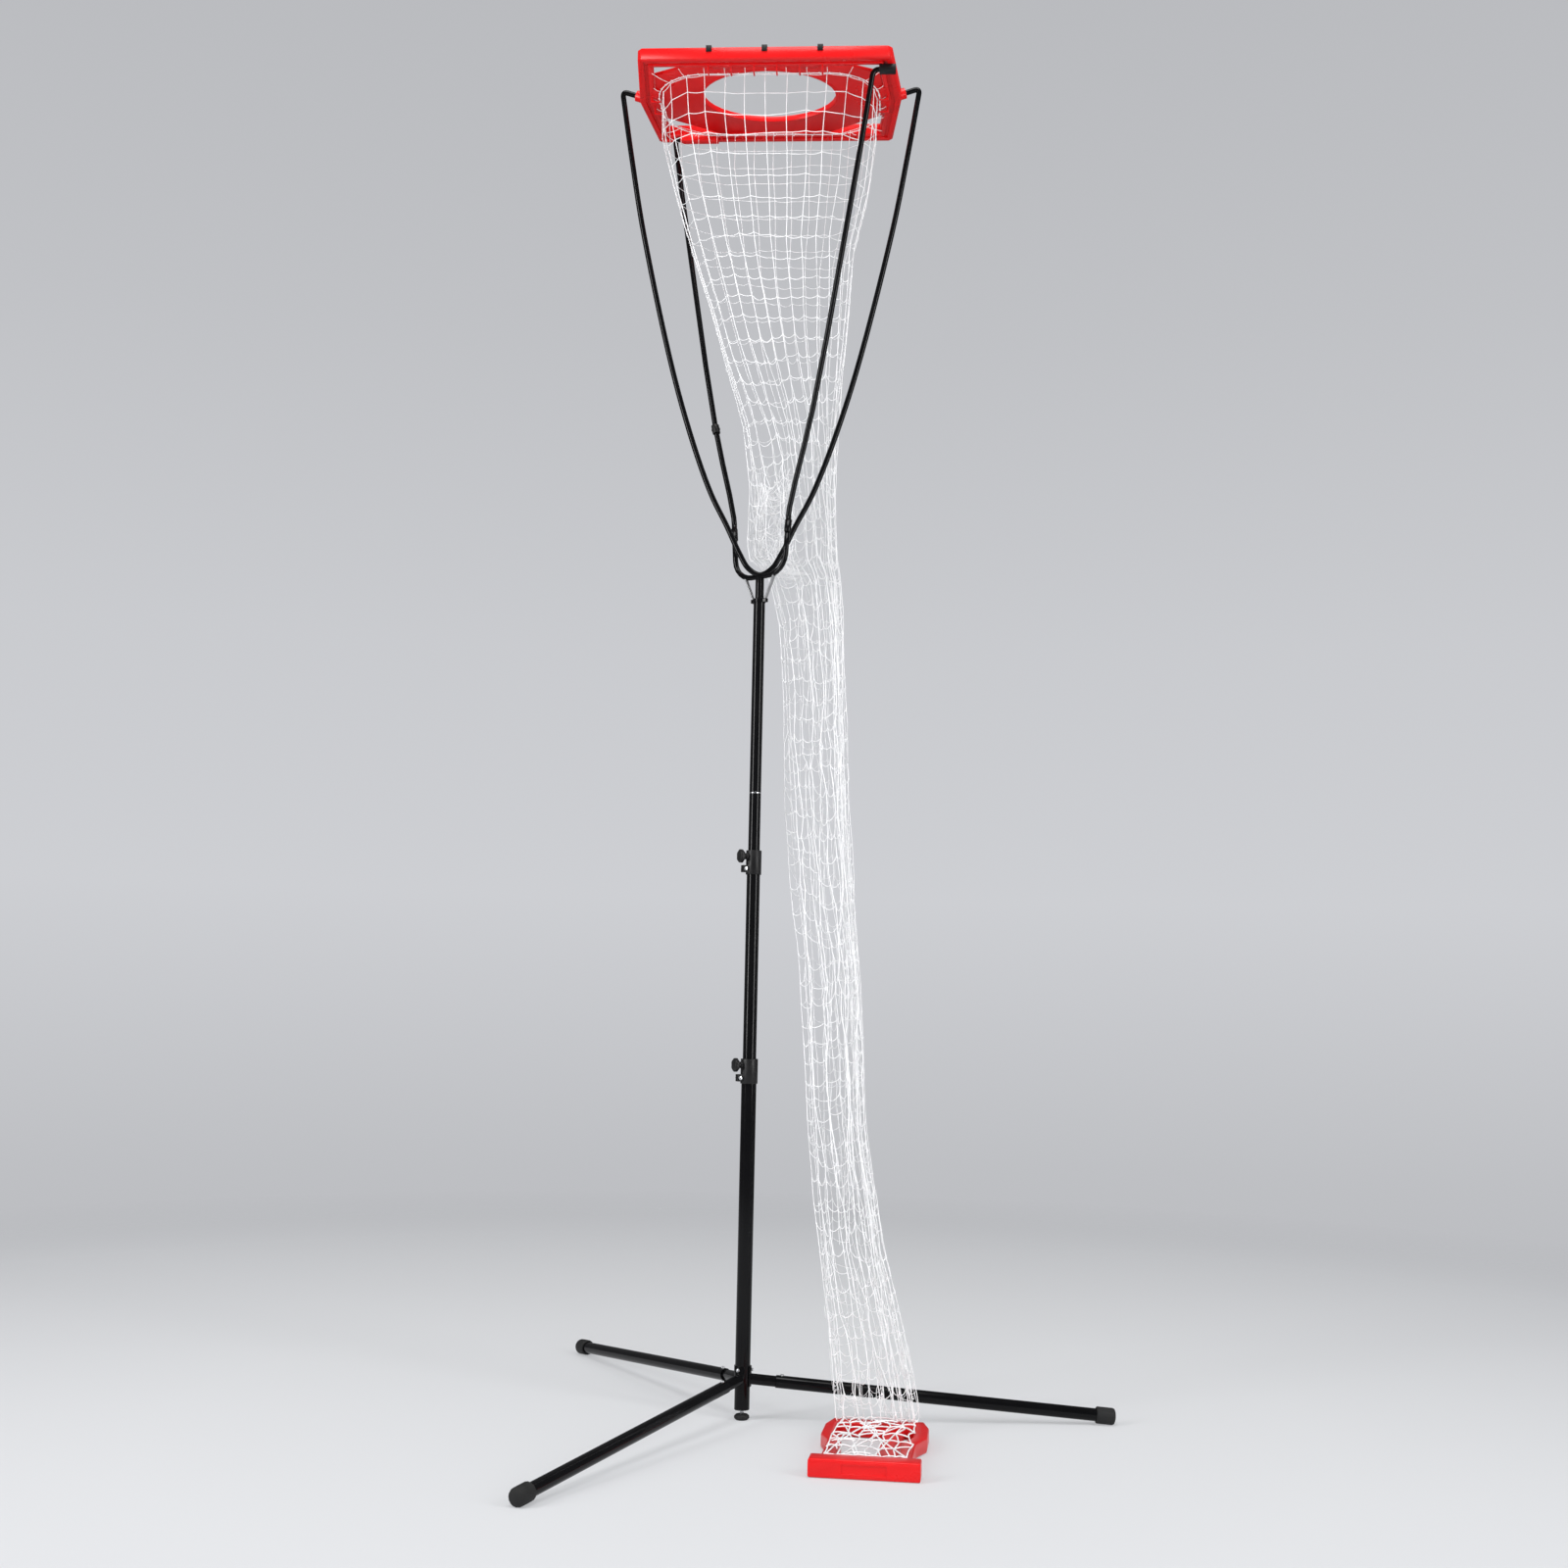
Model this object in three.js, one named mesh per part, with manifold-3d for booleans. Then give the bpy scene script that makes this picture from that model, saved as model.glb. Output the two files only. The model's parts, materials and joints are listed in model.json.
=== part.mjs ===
// Volleyball serving training net: a catch net hung from a raised target frame on a telescopic stand.
// Millimetres, +Z up. The origin is under the levelling foot, on the floor, on the pole's axis.
// The net hangs down on the +X side, and -Y is the front, where its tray lies.
import * as THREE from 'three';
import { mergeVertices } from 'three/addons/utils/BufferGeometryUtils.js';
import Module from 'manifold-3d';

const wasm = await Module();
wasm.setup();

// Clearances
const seatGap = 0.3;
const slideGap = 0.3;
const cutOverrun = 20;

// Pole tubes
const tubeWall = 1.2;
const lowerTubeRadius = 16;
const middleTubeRadius = 14.3;
const upperTubeRadius = 12.6;
const poleBottomHeight = 23.3;
const lowerClampHeight = 718;
const upperClampHeight = 1163;
const poleJointHeight = 1314;
const poleTopHeight = 1734;
const middleInsertion = 175;
const upperInsertion = 165;
const spigotLength = 120;
const spigotRingLength = 2.4;

// Levelling foot
const footPadRadius = 16;
const footPadHeight = 11;
const footPadRounding = 3.5;
const footStudRadius = 4;
const footStudTop = 62;
const footSocketFloor = 4;
const plugFlange = 2.5;
const plugDepth = 20;

// Legs
const hubHeight = 84;
const legReach = 785;
const legAngles = { right: 5, rear: 125, front: 245 };
const legTubeNearReach = 70;
const legTubeRadius = 13;
const legTubeWall = 1.4;
const stubWall = 2;
const stubReach = 112;
const saddleThickness = 2.6;
const saddleAbove = 25;
const saddleBelow = 16;
const saddleHalfAngle = 42;
const hubBoltRise = 18;
const hubBoltHeadRadius = 4;
const hubBoltHeadHeight = 2.8;
const hubBoltEdgeShare = 0.6;
const hubBoltShankRadius = 2.2;
const legCapRadius = 17.5;
const legCapLength = 40;
const legCapEndWall = 5;
const legCapRounding = 6;
const legCapSole = 1;

// Snap buttons that lock the legs on their stubs
const buttonReach = 82;
const buttonRadius = 3.6;
const buttonRise = 3.2;
const buttonFlangeRadius = 5.2;
const buttonFlangeHeight = 1.6;

// Telescope clamps
const clampAngle = 208;
const clampLength = 52;
const clampWall = 2.4;
const clampSeatHeight = 2;
const clampKnobRise = 13;
const clampLugDrop = 14;
const clampLugReach = 10;
const clampLugHeight = 15;
const clampLugWidth = 13;
const clampSlit = 2;
const clampBossRadius = 7;
const clampBossReach = 3;
const clampStudRadius = 3;
const clampBoltRadius = 2.4;
const clampBoltHeadRadius = 4.2;
const clampBoltHeadHeight = 3;
const knobRadius = 14.5;
const knobThickness = 10;
const knobNeckRadius = 6;
const knobNeckLength = 5;
const knobLobeCount = 6;
const knobLobeDepth = 1.8;
const knobRounding = 2;
const knobSocket = 12;

// Fork
const crotchRise = 63;
const forkRodRadius = 6;
const forkStemRadius = 9.4;
const forkStemInsertion = 60;
const forkCollarHeight = 8;
const forkCollarRadius = 13.8;
const forkCollarPlug = 34;
const earReach = 20.5;
const earWidth = 9;
const gussetThickness = 2.4;
const gussetWidth = 9;
const gussetFoot = 17;
const gussetSpread = 41;

// Side yoke, which carries the frame by the bosses in the middle of its sides
const sideYokeHalfWidth = 338;
const sideYokeTipAngle = 18;
const sideYokeBend = 14;
const sideYokeShares = [
  [0.926, 0.862], [0.825, 0.694], [0.568, 0.37], [0.347, 0.172], [0.222, 0.096], [0.135, 0.041],
  [0.075, 0.012],
];

// Cross yoke, which carries the frame by its front and rear bars
const crossYokeAngle = 34;
const crossYokeHalfWidth = 284;
const crossYokeDrop = 4;
const crossYokeBaseHalfWidth = 70;
const crossYokeCornerRadius = 46;
const crossYokeJointRise = 100;
const crossYokeJointHalfWidth = 75;
const crossYokeHook = 26;
const crossYokeBend = 14;
const crossYokeShares = [[0.275, 0.04], [0.482, 0.257], [0.842, 0.755]];
const ferruleWall = 1.3;
const ferruleLength = 26;
const prongClipRise = 253;
const prongClipLength = 20;
const prongClipWall = 2.2;
const prongClipGap = 0.6;
const prongClipReach = 10;
const prongClipEarHeight = 13;
const prongClipEarThickness = 5;

// Target frame
const frameHalfWidth = 277;
const frameMidHalfWidth = 297;
const frameHalfDepth = 195;
const frameBottom = 2890;
const frameHeight = 28;
const barDepth = 36;
const sideWidth = 34;
const barRounding = 4;
const frameCornerCut = 9;
const grooveInset = 11;
const grooveWidth = 9;
const grooveDepth = 5;
const mitreGap = 0.5;
const mitreOverrunShare = 0.3;
const tongueLength = 18;
const tongueWidth = 14;
const tongueHeight = 12;
const bossRadius = 12;
const bossReach = 9;
const bossRoot = 12;
const bossBore = 5;
const bossHeightShare = 0.57;
const ledgeHeight = 4;
const ledgeReach = 9;
const sideLedgeHalfLength = 60;
const barLedgeHalfLength = 20;
const barLedgePlace = 95;

// Sockets under the frame's bars for the cross yoke's hooks
const socketHeight = 16;
const socketDepth = 20;
const socketGap = 13;
const nearSocketLength = 36;
const farSocketLength = 90;
const socketRounding = 2;

// Target panel
const panelThickness = 8;
const panelMargin = 1.6;
const panelNearHalfWidth = 166;
const panelFarHalfWidth = 128;
const panelTipNear = 116;
const panelTipFar = 74;
const panelSlitHalfWidth = 84;
const panelSlitDepth = 5;
const panelRounding = 1.5;
const holeHalfWidth = 150;
const holeHalfDepth = 115;
const holeForward = 20;
const holeRimWidth = 6;
const holeRimRise = 2;
const clipSpacing = 121;
const clipWidth = 12;
const clipThickness = 2.4;
const clipDrop = 12;
const clipFoot = 12;

// Net
const netDrop = 5;
const netHalfWidth = 245;
const netHalfDepth = 140;
const netCornerRadius = 110;
const netCornerShare = 0.8;
const cordWidth = 4;
const rimCordRadius = 2.4;
const rimCordGap = 0.8;
const funnelBottomRise = 3;
const netNeckRise = 290;
const netNeckShare = 0.7211;
const funnelBottomShare = 0.6194;
const chuteSplitHeight = 1050;
const chuteFootHeight = 360;
const hookPost = 3.2;
const hookToe = 2.4;
const barHookPlaces = [25, 75, 125];
const sideHookPlace = 28;
// Height, left edge, right edge, middle depth and half depth of the net, as shares of its sizes
const netSectionShares = [
  [1, -1, 1, 0, 1], [0.967, -0.99, 0.99, 0, 0.94], [0.921, -0.85, 0.92, 0.01, 0.84],
  [0.876, -0.69, 0.8, 0.04, 0.71], [0.83, -0.51, 0.77, 0.09, 0.61], [0.788, -0.37, 0.73, 0.16, 0.51],
  [0.742, -0.21, 0.69, 0.39, 0.39], [0.69, -0.14, 0.67, 0.47, 0.33], [0.637, -0.15, 0.7, 0.46, 0.32],
  [0.62, 0.06, 0.73, 0.48, 0.31], [0.584, 0.155, 0.76, 0.5, 0.3], [0.497, 0.2, 0.81, 0.49, 0.3],
  [0.437, 0.245, 0.845, 0.41, 0.3], [0.383, 0.3, 0.9, 0.33, 0.3], [0.323, 0.4, 0.955, 0.19, 0.3],
  [0.2, 0.515, 1.045, -0.11, 0.285], [0.114, 0.62, 1.21, -0.31, 0.26], [0.048, 0.73, 1.41, -0.53, 0.22],
  [0, 0.8, 1.53, -0.74, 0.18],
];

// Floor tray
const trayX = 274;
const trayY = -272;
const trayAngle = -4;
const trayHalfWidth = 104;
const trayHalfLength = 178;
const trayHeight = 30;
const trayFrontHeight = 35;
const trayWaistHalfWidth = 86;
const trayFrontDepth = 42;
const trayRearDepth = 34;
const traySideWidth = 27;
const trayNearFlare = 30;
const trayWaistReach = 0;
const trayLobeNearReach = 48;
const trayLobeFarReach = 128;
const trayTailHalfWidth = 92;
const trayRounding = 4;
const trayRibX = 34;
const trayRibWidth = 40;
const trayRibHeight = 14;
const recessHalfWidth = 42;
const recessHeight = 17;
const recessDepth = 1.6;
const trayNetHalfWidth = 79;

// Colours and surfaces
function finish(color, roughness, metalness = 0) {
  return new THREE.MeshStandardMaterial({ color, roughness, metalness });
}
const blackPaint = () => finish(0x0b0b0c, 0.3);
const blackPlastic = () => finish(0x141415, 0.55);
const blackRubber = () => finish(0x121213, 0.85);
const redPlastic = () => finish(0xe6141c, 0.35);
const greySteel = () => finish(0x77797c, 0.45, 0.6);
const brightSteel = () => finish(0xa9abad, 0.35, 0.9);
const whiteCord = () => finish(0xf2f2f4, 0.8);

const toRadians = THREE.MathUtils.degToRad;
const mix = THREE.MathUtils.lerp;
const quarter = Math.PI / 2;
const vector = (x, y, z) => new THREE.Vector3(x, y, z);
const upward = vector(0, 0, 1);

// Closed meshes, and their cuts and joins
function closed(geometry) {
  const bare = geometry.index ? geometry.toNonIndexed() : geometry.clone();
  for (const name of Object.keys(bare.attributes)) {
    if (name !== 'position') bare.deleteAttribute(name);
  }
  const merged = mergeVertices(bare);
  const index = merged.index.array;
  const kept = [];
  for (let start = 0; start < index.length; start += 3) {
    const [a, b, c] = index.subarray(start, start + 3);
    if (a !== b && b !== c && c !== a) kept.push(a, b, c);
  }
  merged.setIndex(kept);
  return merged;
}

function toSolid(geometry) {
  const merged = closed(geometry);
  return new wasm.Manifold(new wasm.Mesh({
    numProp: 3,
    vertProperties: new Float32Array(merged.attributes.position.array),
    triVerts: new Uint32Array(merged.index.array),
  }));
}

function toGeometry(solid) {
  const result = solid.getMesh();
  const geometry = new THREE.BufferGeometry();
  const positions = new Float32Array(result.vertProperties);
  geometry.setAttribute('position', new THREE.BufferAttribute(positions, 3));
  geometry.setIndex(new THREE.BufferAttribute(new Uint32Array(result.triVerts), 1));
  return geometry;
}

function join(first, ...others) {
  return toGeometry(others.reduce((sum, other) => sum.add(toSolid(other)), toSolid(first)));
}

function cut(first, ...tools) {
  return toGeometry(tools.reduce((rest, tool) => rest.subtract(toSolid(tool)), toSolid(first)));
}

function common(first, second) {
  return toGeometry(toSolid(first).intersect(toSolid(second)));
}

// Basic forms, all made along Z
function rod(radius, bottom, top, sides = 20) {
  const geometry = new THREE.CylinderGeometry(radius, radius, top - bottom, sides);
  return geometry.rotateX(quarter).translate(0, 0, (top + bottom) / 2);
}

function revolve(profile, sides = 20) {
  const points = profile.map(([radius, height]) => new THREE.Vector2(radius, height));
  if (THREE.ShapeUtils.isClockWise(points)) points.reverse();
  const onAxis = points[0].x === 0 && points[points.length - 1].x === 0;
  if (!onAxis) points.push(points[0].clone());
  return new THREE.LatheGeometry(points, sides).rotateX(quarter);
}

function tube(outer, inner, bottom, top, sides = 20) {
  return revolve([[inner, bottom], [outer, bottom], [outer, top], [inner, top]], sides);
}

function box(left, right, near, far, bottom, top) {
  const geometry = new THREE.BoxGeometry(right - left, far - near, top - bottom);
  return geometry.translate((left + right) / 2, (near + far) / 2, (bottom + top) / 2);
}

function prism(points, bottom, top, rounding = 0, hole = null) {
  const outline = points.map(([x, y]) => new THREE.Vector2(x, y));
  if (THREE.ShapeUtils.isClockWise(outline)) outline.reverse();
  const shape = new THREE.Shape(outline);
  if (hole) shape.holes.push(hole);
  const settings = {
    depth: top - bottom - 2 * rounding,
    bevelEnabled: rounding > 0,
    bevelThickness: rounding,
    bevelSize: rounding,
    bevelOffset: -rounding,
    bevelSegments: 2,
    curveSegments: 18,
  };
  return new THREE.ExtrudeGeometry(shape, settings).translate(0, 0, bottom + rounding);
}

function openPath(points) {
  return new THREE.Path(points.map(([x, y]) => new THREE.Vector2(x, y)));
}

const zToX = (geometry) => geometry.rotateY(quarter);

// A path whose rings stand exactly on its given points, each square to the mean of its two directions
class RingPath extends THREE.Curve {
  constructor(points) {
    super();
    this.points = points;
  }

  getPoint(share) {
    const last = this.points.length - 1;
    const low = Math.min(Math.floor(share * last), last - 1);
    return this.points[low].clone().lerp(this.points[low + 1], share * last - low);
  }

  getSpacedPoints() {
    return this.points;
  }

  getTangentAt(share) {
    const last = this.points.length - 1;
    const ring = Math.round(share * last);
    const here = this.points[ring];
    const before = this.points[Math.max(ring - 1, 0)];
    const after = this.points[Math.min(ring + 1, last)];
    const into = here.clone().sub(before).normalize();
    const out = after.clone().sub(here).normalize();
    return into.add(out).normalize();
  }
}

function bentRod(points, radius, sides = 8) {
  const corners = Array.from({ length: sides }, (_, index) => {
    const angle = (2 * Math.PI * index) / sides;
    return new THREE.Vector2(radius * Math.cos(angle), radius * Math.sin(angle));
  });
  const settings = { steps: points.length - 1, extrudePath: new RingPath(points) };
  return new THREE.ExtrudeGeometry(new THREE.Shape(corners), settings);
}

// Placing
const model = new THREE.Group();

function place(name, geometry, material, parent = model) {
  const mesh = new THREE.Mesh(closed(geometry), material);
  mesh.name = name;
  parent.add(mesh);
}

function turned(angle, height = 0) {
  const group = new THREE.Group();
  group.rotation.z = toRadians(angle);
  group.position.z = height;
  model.add(group);
  return group;
}

// Levelling foot: a rubber pad on a stud that screws into the pole's end plug
function makeFoot() {
  const studSpace = footStudRadius + seatGap;
  const pad = [
    [0, 0], [footPadRadius - footPadRounding, 0], [footPadRadius, footPadRounding],
    [footPadRadius, footPadHeight - footPadRounding], [footPadRadius - footPadRounding, footPadHeight],
    [studSpace, footPadHeight], [studSpace, footSocketFloor], [0, footSocketFloor],
  ];
  place('foot_pad', revolve(pad), blackRubber());
  place('foot_stud', rod(footStudRadius, footSocketFloor + seatGap, footStudTop, 12), brightSteel());
  const body = lowerTubeRadius - tubeWall - seatGap;
  const top = poleBottomHeight - seatGap;
  const bore = footStudRadius + slideGap;
  const plug = [
    [bore, top - plugFlange], [lowerTubeRadius, top - plugFlange], [lowerTubeRadius, top],
    [body, top], [body, top + plugDepth], [bore, top + plugDepth],
  ];
  place('pole_end_plug', revolve(plug), blackPlastic());
}

// Pole: three telescoping tubes, the upper one in two sections on a spigot
const lowerTubeTop = lowerClampHeight + clampSeatHeight - seatGap;
const middleTubeTop = upperClampHeight + clampSeatHeight - seatGap;
const upperBore = upperTubeRadius - tubeWall;

function makePole() {
  const bore = lowerTubeRadius - tubeWall;
  const lower = tube(lowerTubeRadius, bore, poleBottomHeight, lowerTubeTop);
  place('lower_pole', cut(lower, ...hubBoltHoles()), blackPaint());
  const middleBottom = lowerTubeTop - middleInsertion;
  const middle = tube(middleTubeRadius, middleTubeRadius - tubeWall, middleBottom, middleTubeTop);
  place('middle_pole', middle, blackPaint());
  const upperBottom = middleTubeTop - upperInsertion;
  const ringBottom = poleJointHeight - spigotRingLength / 2;
  const ringTop = poleJointHeight + spigotRingLength / 2;
  const first = tube(upperTubeRadius, upperBore, upperBottom, ringBottom - seatGap);
  place('upper_pole_lower_section', first, blackPaint());
  const second = tube(upperTubeRadius, upperBore, ringTop + seatGap, poleTopHeight);
  place('upper_pole_upper_section', second, blackPaint());
  const plug = upperBore - seatGap;
  const spigotBottom = poleJointHeight - spigotLength / 2;
  const spigotTop = poleJointHeight + spigotLength / 2;
  const spigot = [
    [plug - tubeWall, spigotBottom], [plug, spigotBottom], [plug, ringBottom],
    [upperTubeRadius, ringBottom], [upperTubeRadius, ringTop], [plug, ringTop], [plug, spigotTop],
    [plug - tubeWall, spigotTop],
  ];
  place('pole_joint_spigot', revolve(spigot), brightSteel());
}

// Legs: stubs bolted to the pole, tubes pushed over the stubs, rubber caps on their ends
const legSlope = Math.asin((hubHeight + legCapSole - legCapRadius) / (legReach - legCapRounding));
const stubRadius = legTubeRadius - legTubeWall - slideGap;
const saddleBore = lowerTubeRadius + seatGap;
const saddleFace = saddleBore + saddleThickness;

const alongLeg = (geometry) => zToX(geometry).rotateY(legSlope).translate(0, 0, hubHeight);
const acrossLeg = (geometry) => {
  return geometry.translate(buttonReach, 0, 0).rotateY(legSlope).translate(0, 0, hubHeight);
};

function hubBoltHole() {
  const hole = rod(hubBoltShankRadius + seatGap, 0, saddleFace + cutOverrun, 10);
  return zToX(hole).translate(0, 0, hubHeight + hubBoltRise);
}

function hubBoltHoles() {
  return Object.values(legAngles).map((angle) => hubBoltHole().rotateZ(toRadians(angle)));
}

function buttonHole() {
  return acrossLeg(rod(buttonRadius + slideGap, 0, legTubeRadius + cutOverrun, 12));
}

function makeLegStub(name, group) {
  const bottom = hubHeight - saddleBelow;
  const top = hubHeight + saddleAbove;
  const reach = saddleFace + cutOverrun;
  const spread = reach * Math.tan(toRadians(saddleHalfAngle));
  const wedge = prism([[0, 0], [reach, -spread], [reach, spread]], bottom, top);
  const saddle = common(tube(saddleFace, lowerTubeRadius, bottom, top), wedge);
  const stub = alongLeg(rod(stubRadius, 0, stubReach, 16));
  const bore = alongLeg(rod(stubRadius - stubWall, saddleFace, stubReach + cutOverrun, 16));
  const poleSpace = rod(saddleBore, bottom - cutOverrun, top + cutOverrun);
  const body = cut(join(saddle, stub), poleSpace, bore, hubBoltHole(), buttonHole());
  place(`leg_stub_${name}`, body, blackPaint(), group);
}

function makeLegTube(name, group) {
  const end = legReach - legCapEndWall - seatGap;
  const body = alongLeg(tube(legTubeRadius, legTubeRadius - legTubeWall, legTubeNearReach, end, 16));
  place(`leg_tube_${name}`, cut(body, buttonHole()), blackPaint(), group);
}

function makeLegCap(name, group) {
  const mouth = legReach - legCapLength;
  const floor = legReach - legCapEndWall;
  const bore = legTubeRadius + seatGap;
  const lip = (legCapRadius - bore) / 2;
  const corner = [0, 0.5, 1].map((turn) => [
    legCapRadius - legCapRounding * (1 - Math.cos(quarter * turn)),
    legReach - legCapRounding * (1 - Math.sin(quarter * turn)),
  ]);
  const profile = [
    [0, floor], [bore, floor], [bore, mouth], [legCapRadius - lip, mouth], [legCapRadius, mouth + lip],
    ...corner, [0, legReach],
  ];
  const floorSpace = box(0, 2 * legReach, -legReach, legReach, -legCapRadius, 0);
  place(`leg_cap_${name}`, cut(alongLeg(revolve(profile, 16)), floorSpace), blackRubber(), group);
}

function makeLegButton(name, group) {
  const top = legTubeRadius + buttonRise;
  const shoulder = legTubeRadius + buttonRise / 2;
  const bore = stubRadius - stubWall;
  const flange = Math.sqrt(bore ** 2 - buttonFlangeRadius ** 2) - seatGap;
  const profile = [
    [0, flange - buttonFlangeHeight], [buttonFlangeRadius, flange - buttonFlangeHeight],
    [buttonFlangeRadius, flange], [buttonRadius, flange], [buttonRadius, shoulder],
    [buttonRadius * Math.SQRT1_2, mix(shoulder, top, Math.SQRT1_2)], [0, top],
  ];
  place(`leg_button_${name}`, acrossLeg(revolve(profile, 12)), brightSteel(), group);
}

function makeHubBolt(name, group) {
  const root = lowerTubeRadius - tubeWall;
  const seat = saddleFace + seatGap;
  const crown = seat + hubBoltHeadHeight;
  const profile = [
    [0, root], [hubBoltShankRadius, root], [hubBoltShankRadius, seat], [hubBoltHeadRadius, seat],
    [hubBoltHeadRadius, mix(seat, crown, hubBoltEdgeShare)], [hubBoltHeadRadius / 2, crown], [0, crown],
  ];
  const bolt = zToX(revolve(profile, 10)).translate(0, 0, hubHeight + hubBoltRise);
  place(`hub_bolt_${name}`, bolt, brightSteel(), group);
}

function makeLegs() {
  for (const [name, angle] of Object.entries(legAngles)) {
    const group = turned(angle);
    makeLegStub(name, group);
    makeLegTube(name, group);
    makeLegCap(name, group);
    makeLegButton(name, group);
    makeHubBolt(name, group);
  }
}

// Telescope clamps: a split collar with its pinch bolt, and a knob whose stud bears on the inner tube
function makeClampCollar(name, group, outerTube, innerTube) {
  const seat = outerTube + seatGap;
  const slide = innerTube + slideGap;
  const outer = outerTube + clampWall;
  const half = clampLength / 2;
  const body = revolve([
    [seat, -half], [outer, -half], [outer, half], [slide, half], [slide, clampSeatHeight], [seat, clampSeatHeight],
  ]);
  const bossStart = mix(slide, outer, 0.5);
  const boss = zToX(rod(clampBossRadius, bossStart, outer + clampBossReach, 16));
  const lugStart = outer - clampWall / 2;
  const lugHalf = clampLugWidth / 2;
  const lugBottom = -clampLugDrop - clampLugHeight / 2;
  const lug = box(lugStart, outer + clampLugReach, -lugHalf, lugHalf, lugBottom, lugBottom + clampLugHeight);
  const slitEnd = outer + clampLugReach + cutOverrun;
  const slit = box(slide, slitEnd, -clampSlit / 2, clampSlit / 2, -half - cutOverrun, -clampSeatHeight);
  const studHole = zToX(rod(clampStudRadius + slideGap, 0, outer + clampBossReach + cutOverrun, 12));
  const boltHole = rod(clampBoltRadius + seatGap, -clampLugWidth, clampLugWidth, 10).rotateX(quarter);
  boss.translate(0, 0, clampKnobRise);
  studHole.translate(0, 0, clampKnobRise);
  boltHole.translate(outer + clampLugReach / 2, 0, -clampLugDrop);
  const collar = cut(join(body, boss, lug), slit, studHole, boltHole);
  place(`${name}_clamp_collar`, collar, blackPlastic(), group);
}

function makeClampBolt(name, group, outerTube) {
  const face = clampLugWidth / 2 + seatGap;
  const head = face + clampBoltHeadHeight;
  const profile = [
    [0, -head], [clampBoltHeadRadius, -head], [clampBoltHeadRadius, -face], [clampBoltRadius, -face],
    [clampBoltRadius, face], [clampBoltHeadRadius, face], [clampBoltHeadRadius, head], [0, head],
  ];
  const bolt = revolve(profile, 10).rotateX(quarter);
  bolt.translate(outerTube + clampWall + clampLugReach / 2, 0, -clampLugDrop);
  place(`${name}_clamp_bolt`, bolt, brightSteel(), group);
}

function knobOutline() {
  const count = knobLobeCount * 4;
  return Array.from({ length: count }, (_, index) => {
    const angle = (2 * Math.PI * index) / count;
    const radius = knobRadius - (knobLobeDepth * (1 - Math.cos(knobLobeCount * angle))) / 2;
    return [radius * Math.cos(angle), radius * Math.sin(angle)];
  });
}

function makeClampKnob(name, group, outerTube, innerTube) {
  const neck = outerTube + clampWall + clampBossReach + seatGap;
  const head = neck + knobNeckLength;
  const stud = rod(clampStudRadius, innerTube + seatGap, neck + knobSocket - seatGap, 12);
  const grip = prism(knobOutline(), head, head + knobThickness, knobRounding);
  const hub = rod(knobNeckRadius, neck, head + knobThickness / 2, 16);
  const socket = rod(clampStudRadius + seatGap, neck - cutOverrun, neck + knobSocket, 12);
  const knob = cut(join(grip, hub), socket);
  place(`${name}_clamp_stud`, zToX(stud).translate(0, 0, clampKnobRise), brightSteel(), group);
  place(`${name}_clamp_knob`, zToX(knob).translate(0, 0, clampKnobRise), blackPlastic(), group);
}

function makeClamps() {
  const clamps = [
    ['lower', lowerClampHeight, lowerTubeRadius, middleTubeRadius],
    ['upper', upperClampHeight, middleTubeRadius, upperTubeRadius],
  ];
  for (const [name, height, outerTube, innerTube] of clamps) {
    const group = turned(clampAngle, height);
    makeClampCollar(name, group, outerTube, innerTube);
    makeClampBolt(name, group, outerTube);
    makeClampKnob(name, group, outerTube, innerTube);
  }
}

// Side yoke
const crotchHeight = poleTopHeight + crotchRise;
const bossHeight = frameBottom + frameHeight * bossHeightShare;
const bossDirection = vector(Math.cos(toRadians(sideYokeTipAngle)), 0, Math.sin(toRadians(sideYokeTipAngle)));

function onBossAxis(distance) {
  return vector(frameMidHalfWidth, 0, bossHeight).addScaledVector(bossDirection, distance);
}

function towards(from, to, distance) {
  return from.clone().addScaledVector(to.clone().sub(from).normalize(), distance);
}

function mirroredPath(half) {
  const left = half.map((point) => vector(-point.x, point.y, point.z)).reverse();
  return [...half, ...left];
}

function sideYokePath() {
  const corner = onBossAxis((sideYokeHalfWidth - frameMidHalfWidth) / bossDirection.x);
  const prong = sideYokeShares.map(([across, up]) => {
    return vector(across * sideYokeHalfWidth, 0, mix(crotchHeight, corner.z, up));
  });
  const bendStart = towards(corner, prong[0], sideYokeBend);
  const bendEnd = towards(corner, onBossAxis(0), sideYokeBend);
  const bend = new THREE.QuadraticBezierCurve3(bendEnd, corner, bendStart).getPoints(4);
  const bottom = vector(0, 0, crotchHeight);
  const mirrored = [...prong].reverse().map((point) => vector(-point.x, 0, point.z));
  const leftStart = vector(-bendStart.x, 0, bendStart.z);
  const sweep = new THREE.CatmullRomCurve3([bendStart, ...prong, bottom, ...mirrored, leftStart]);
  const half = sweep.getPoints(28).slice(1, 14);
  const tip = onBossAxis(seatGap - bossBore);
  const right = [tip, ...bend, ...half];
  const left = right.map((point) => vector(-point.x, 0, point.z)).reverse();
  return [...right, bottom, ...left];
}

const sideRod = (growth = 0) => bentRod(sideYokePath(), forkRodRadius + growth);

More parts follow.
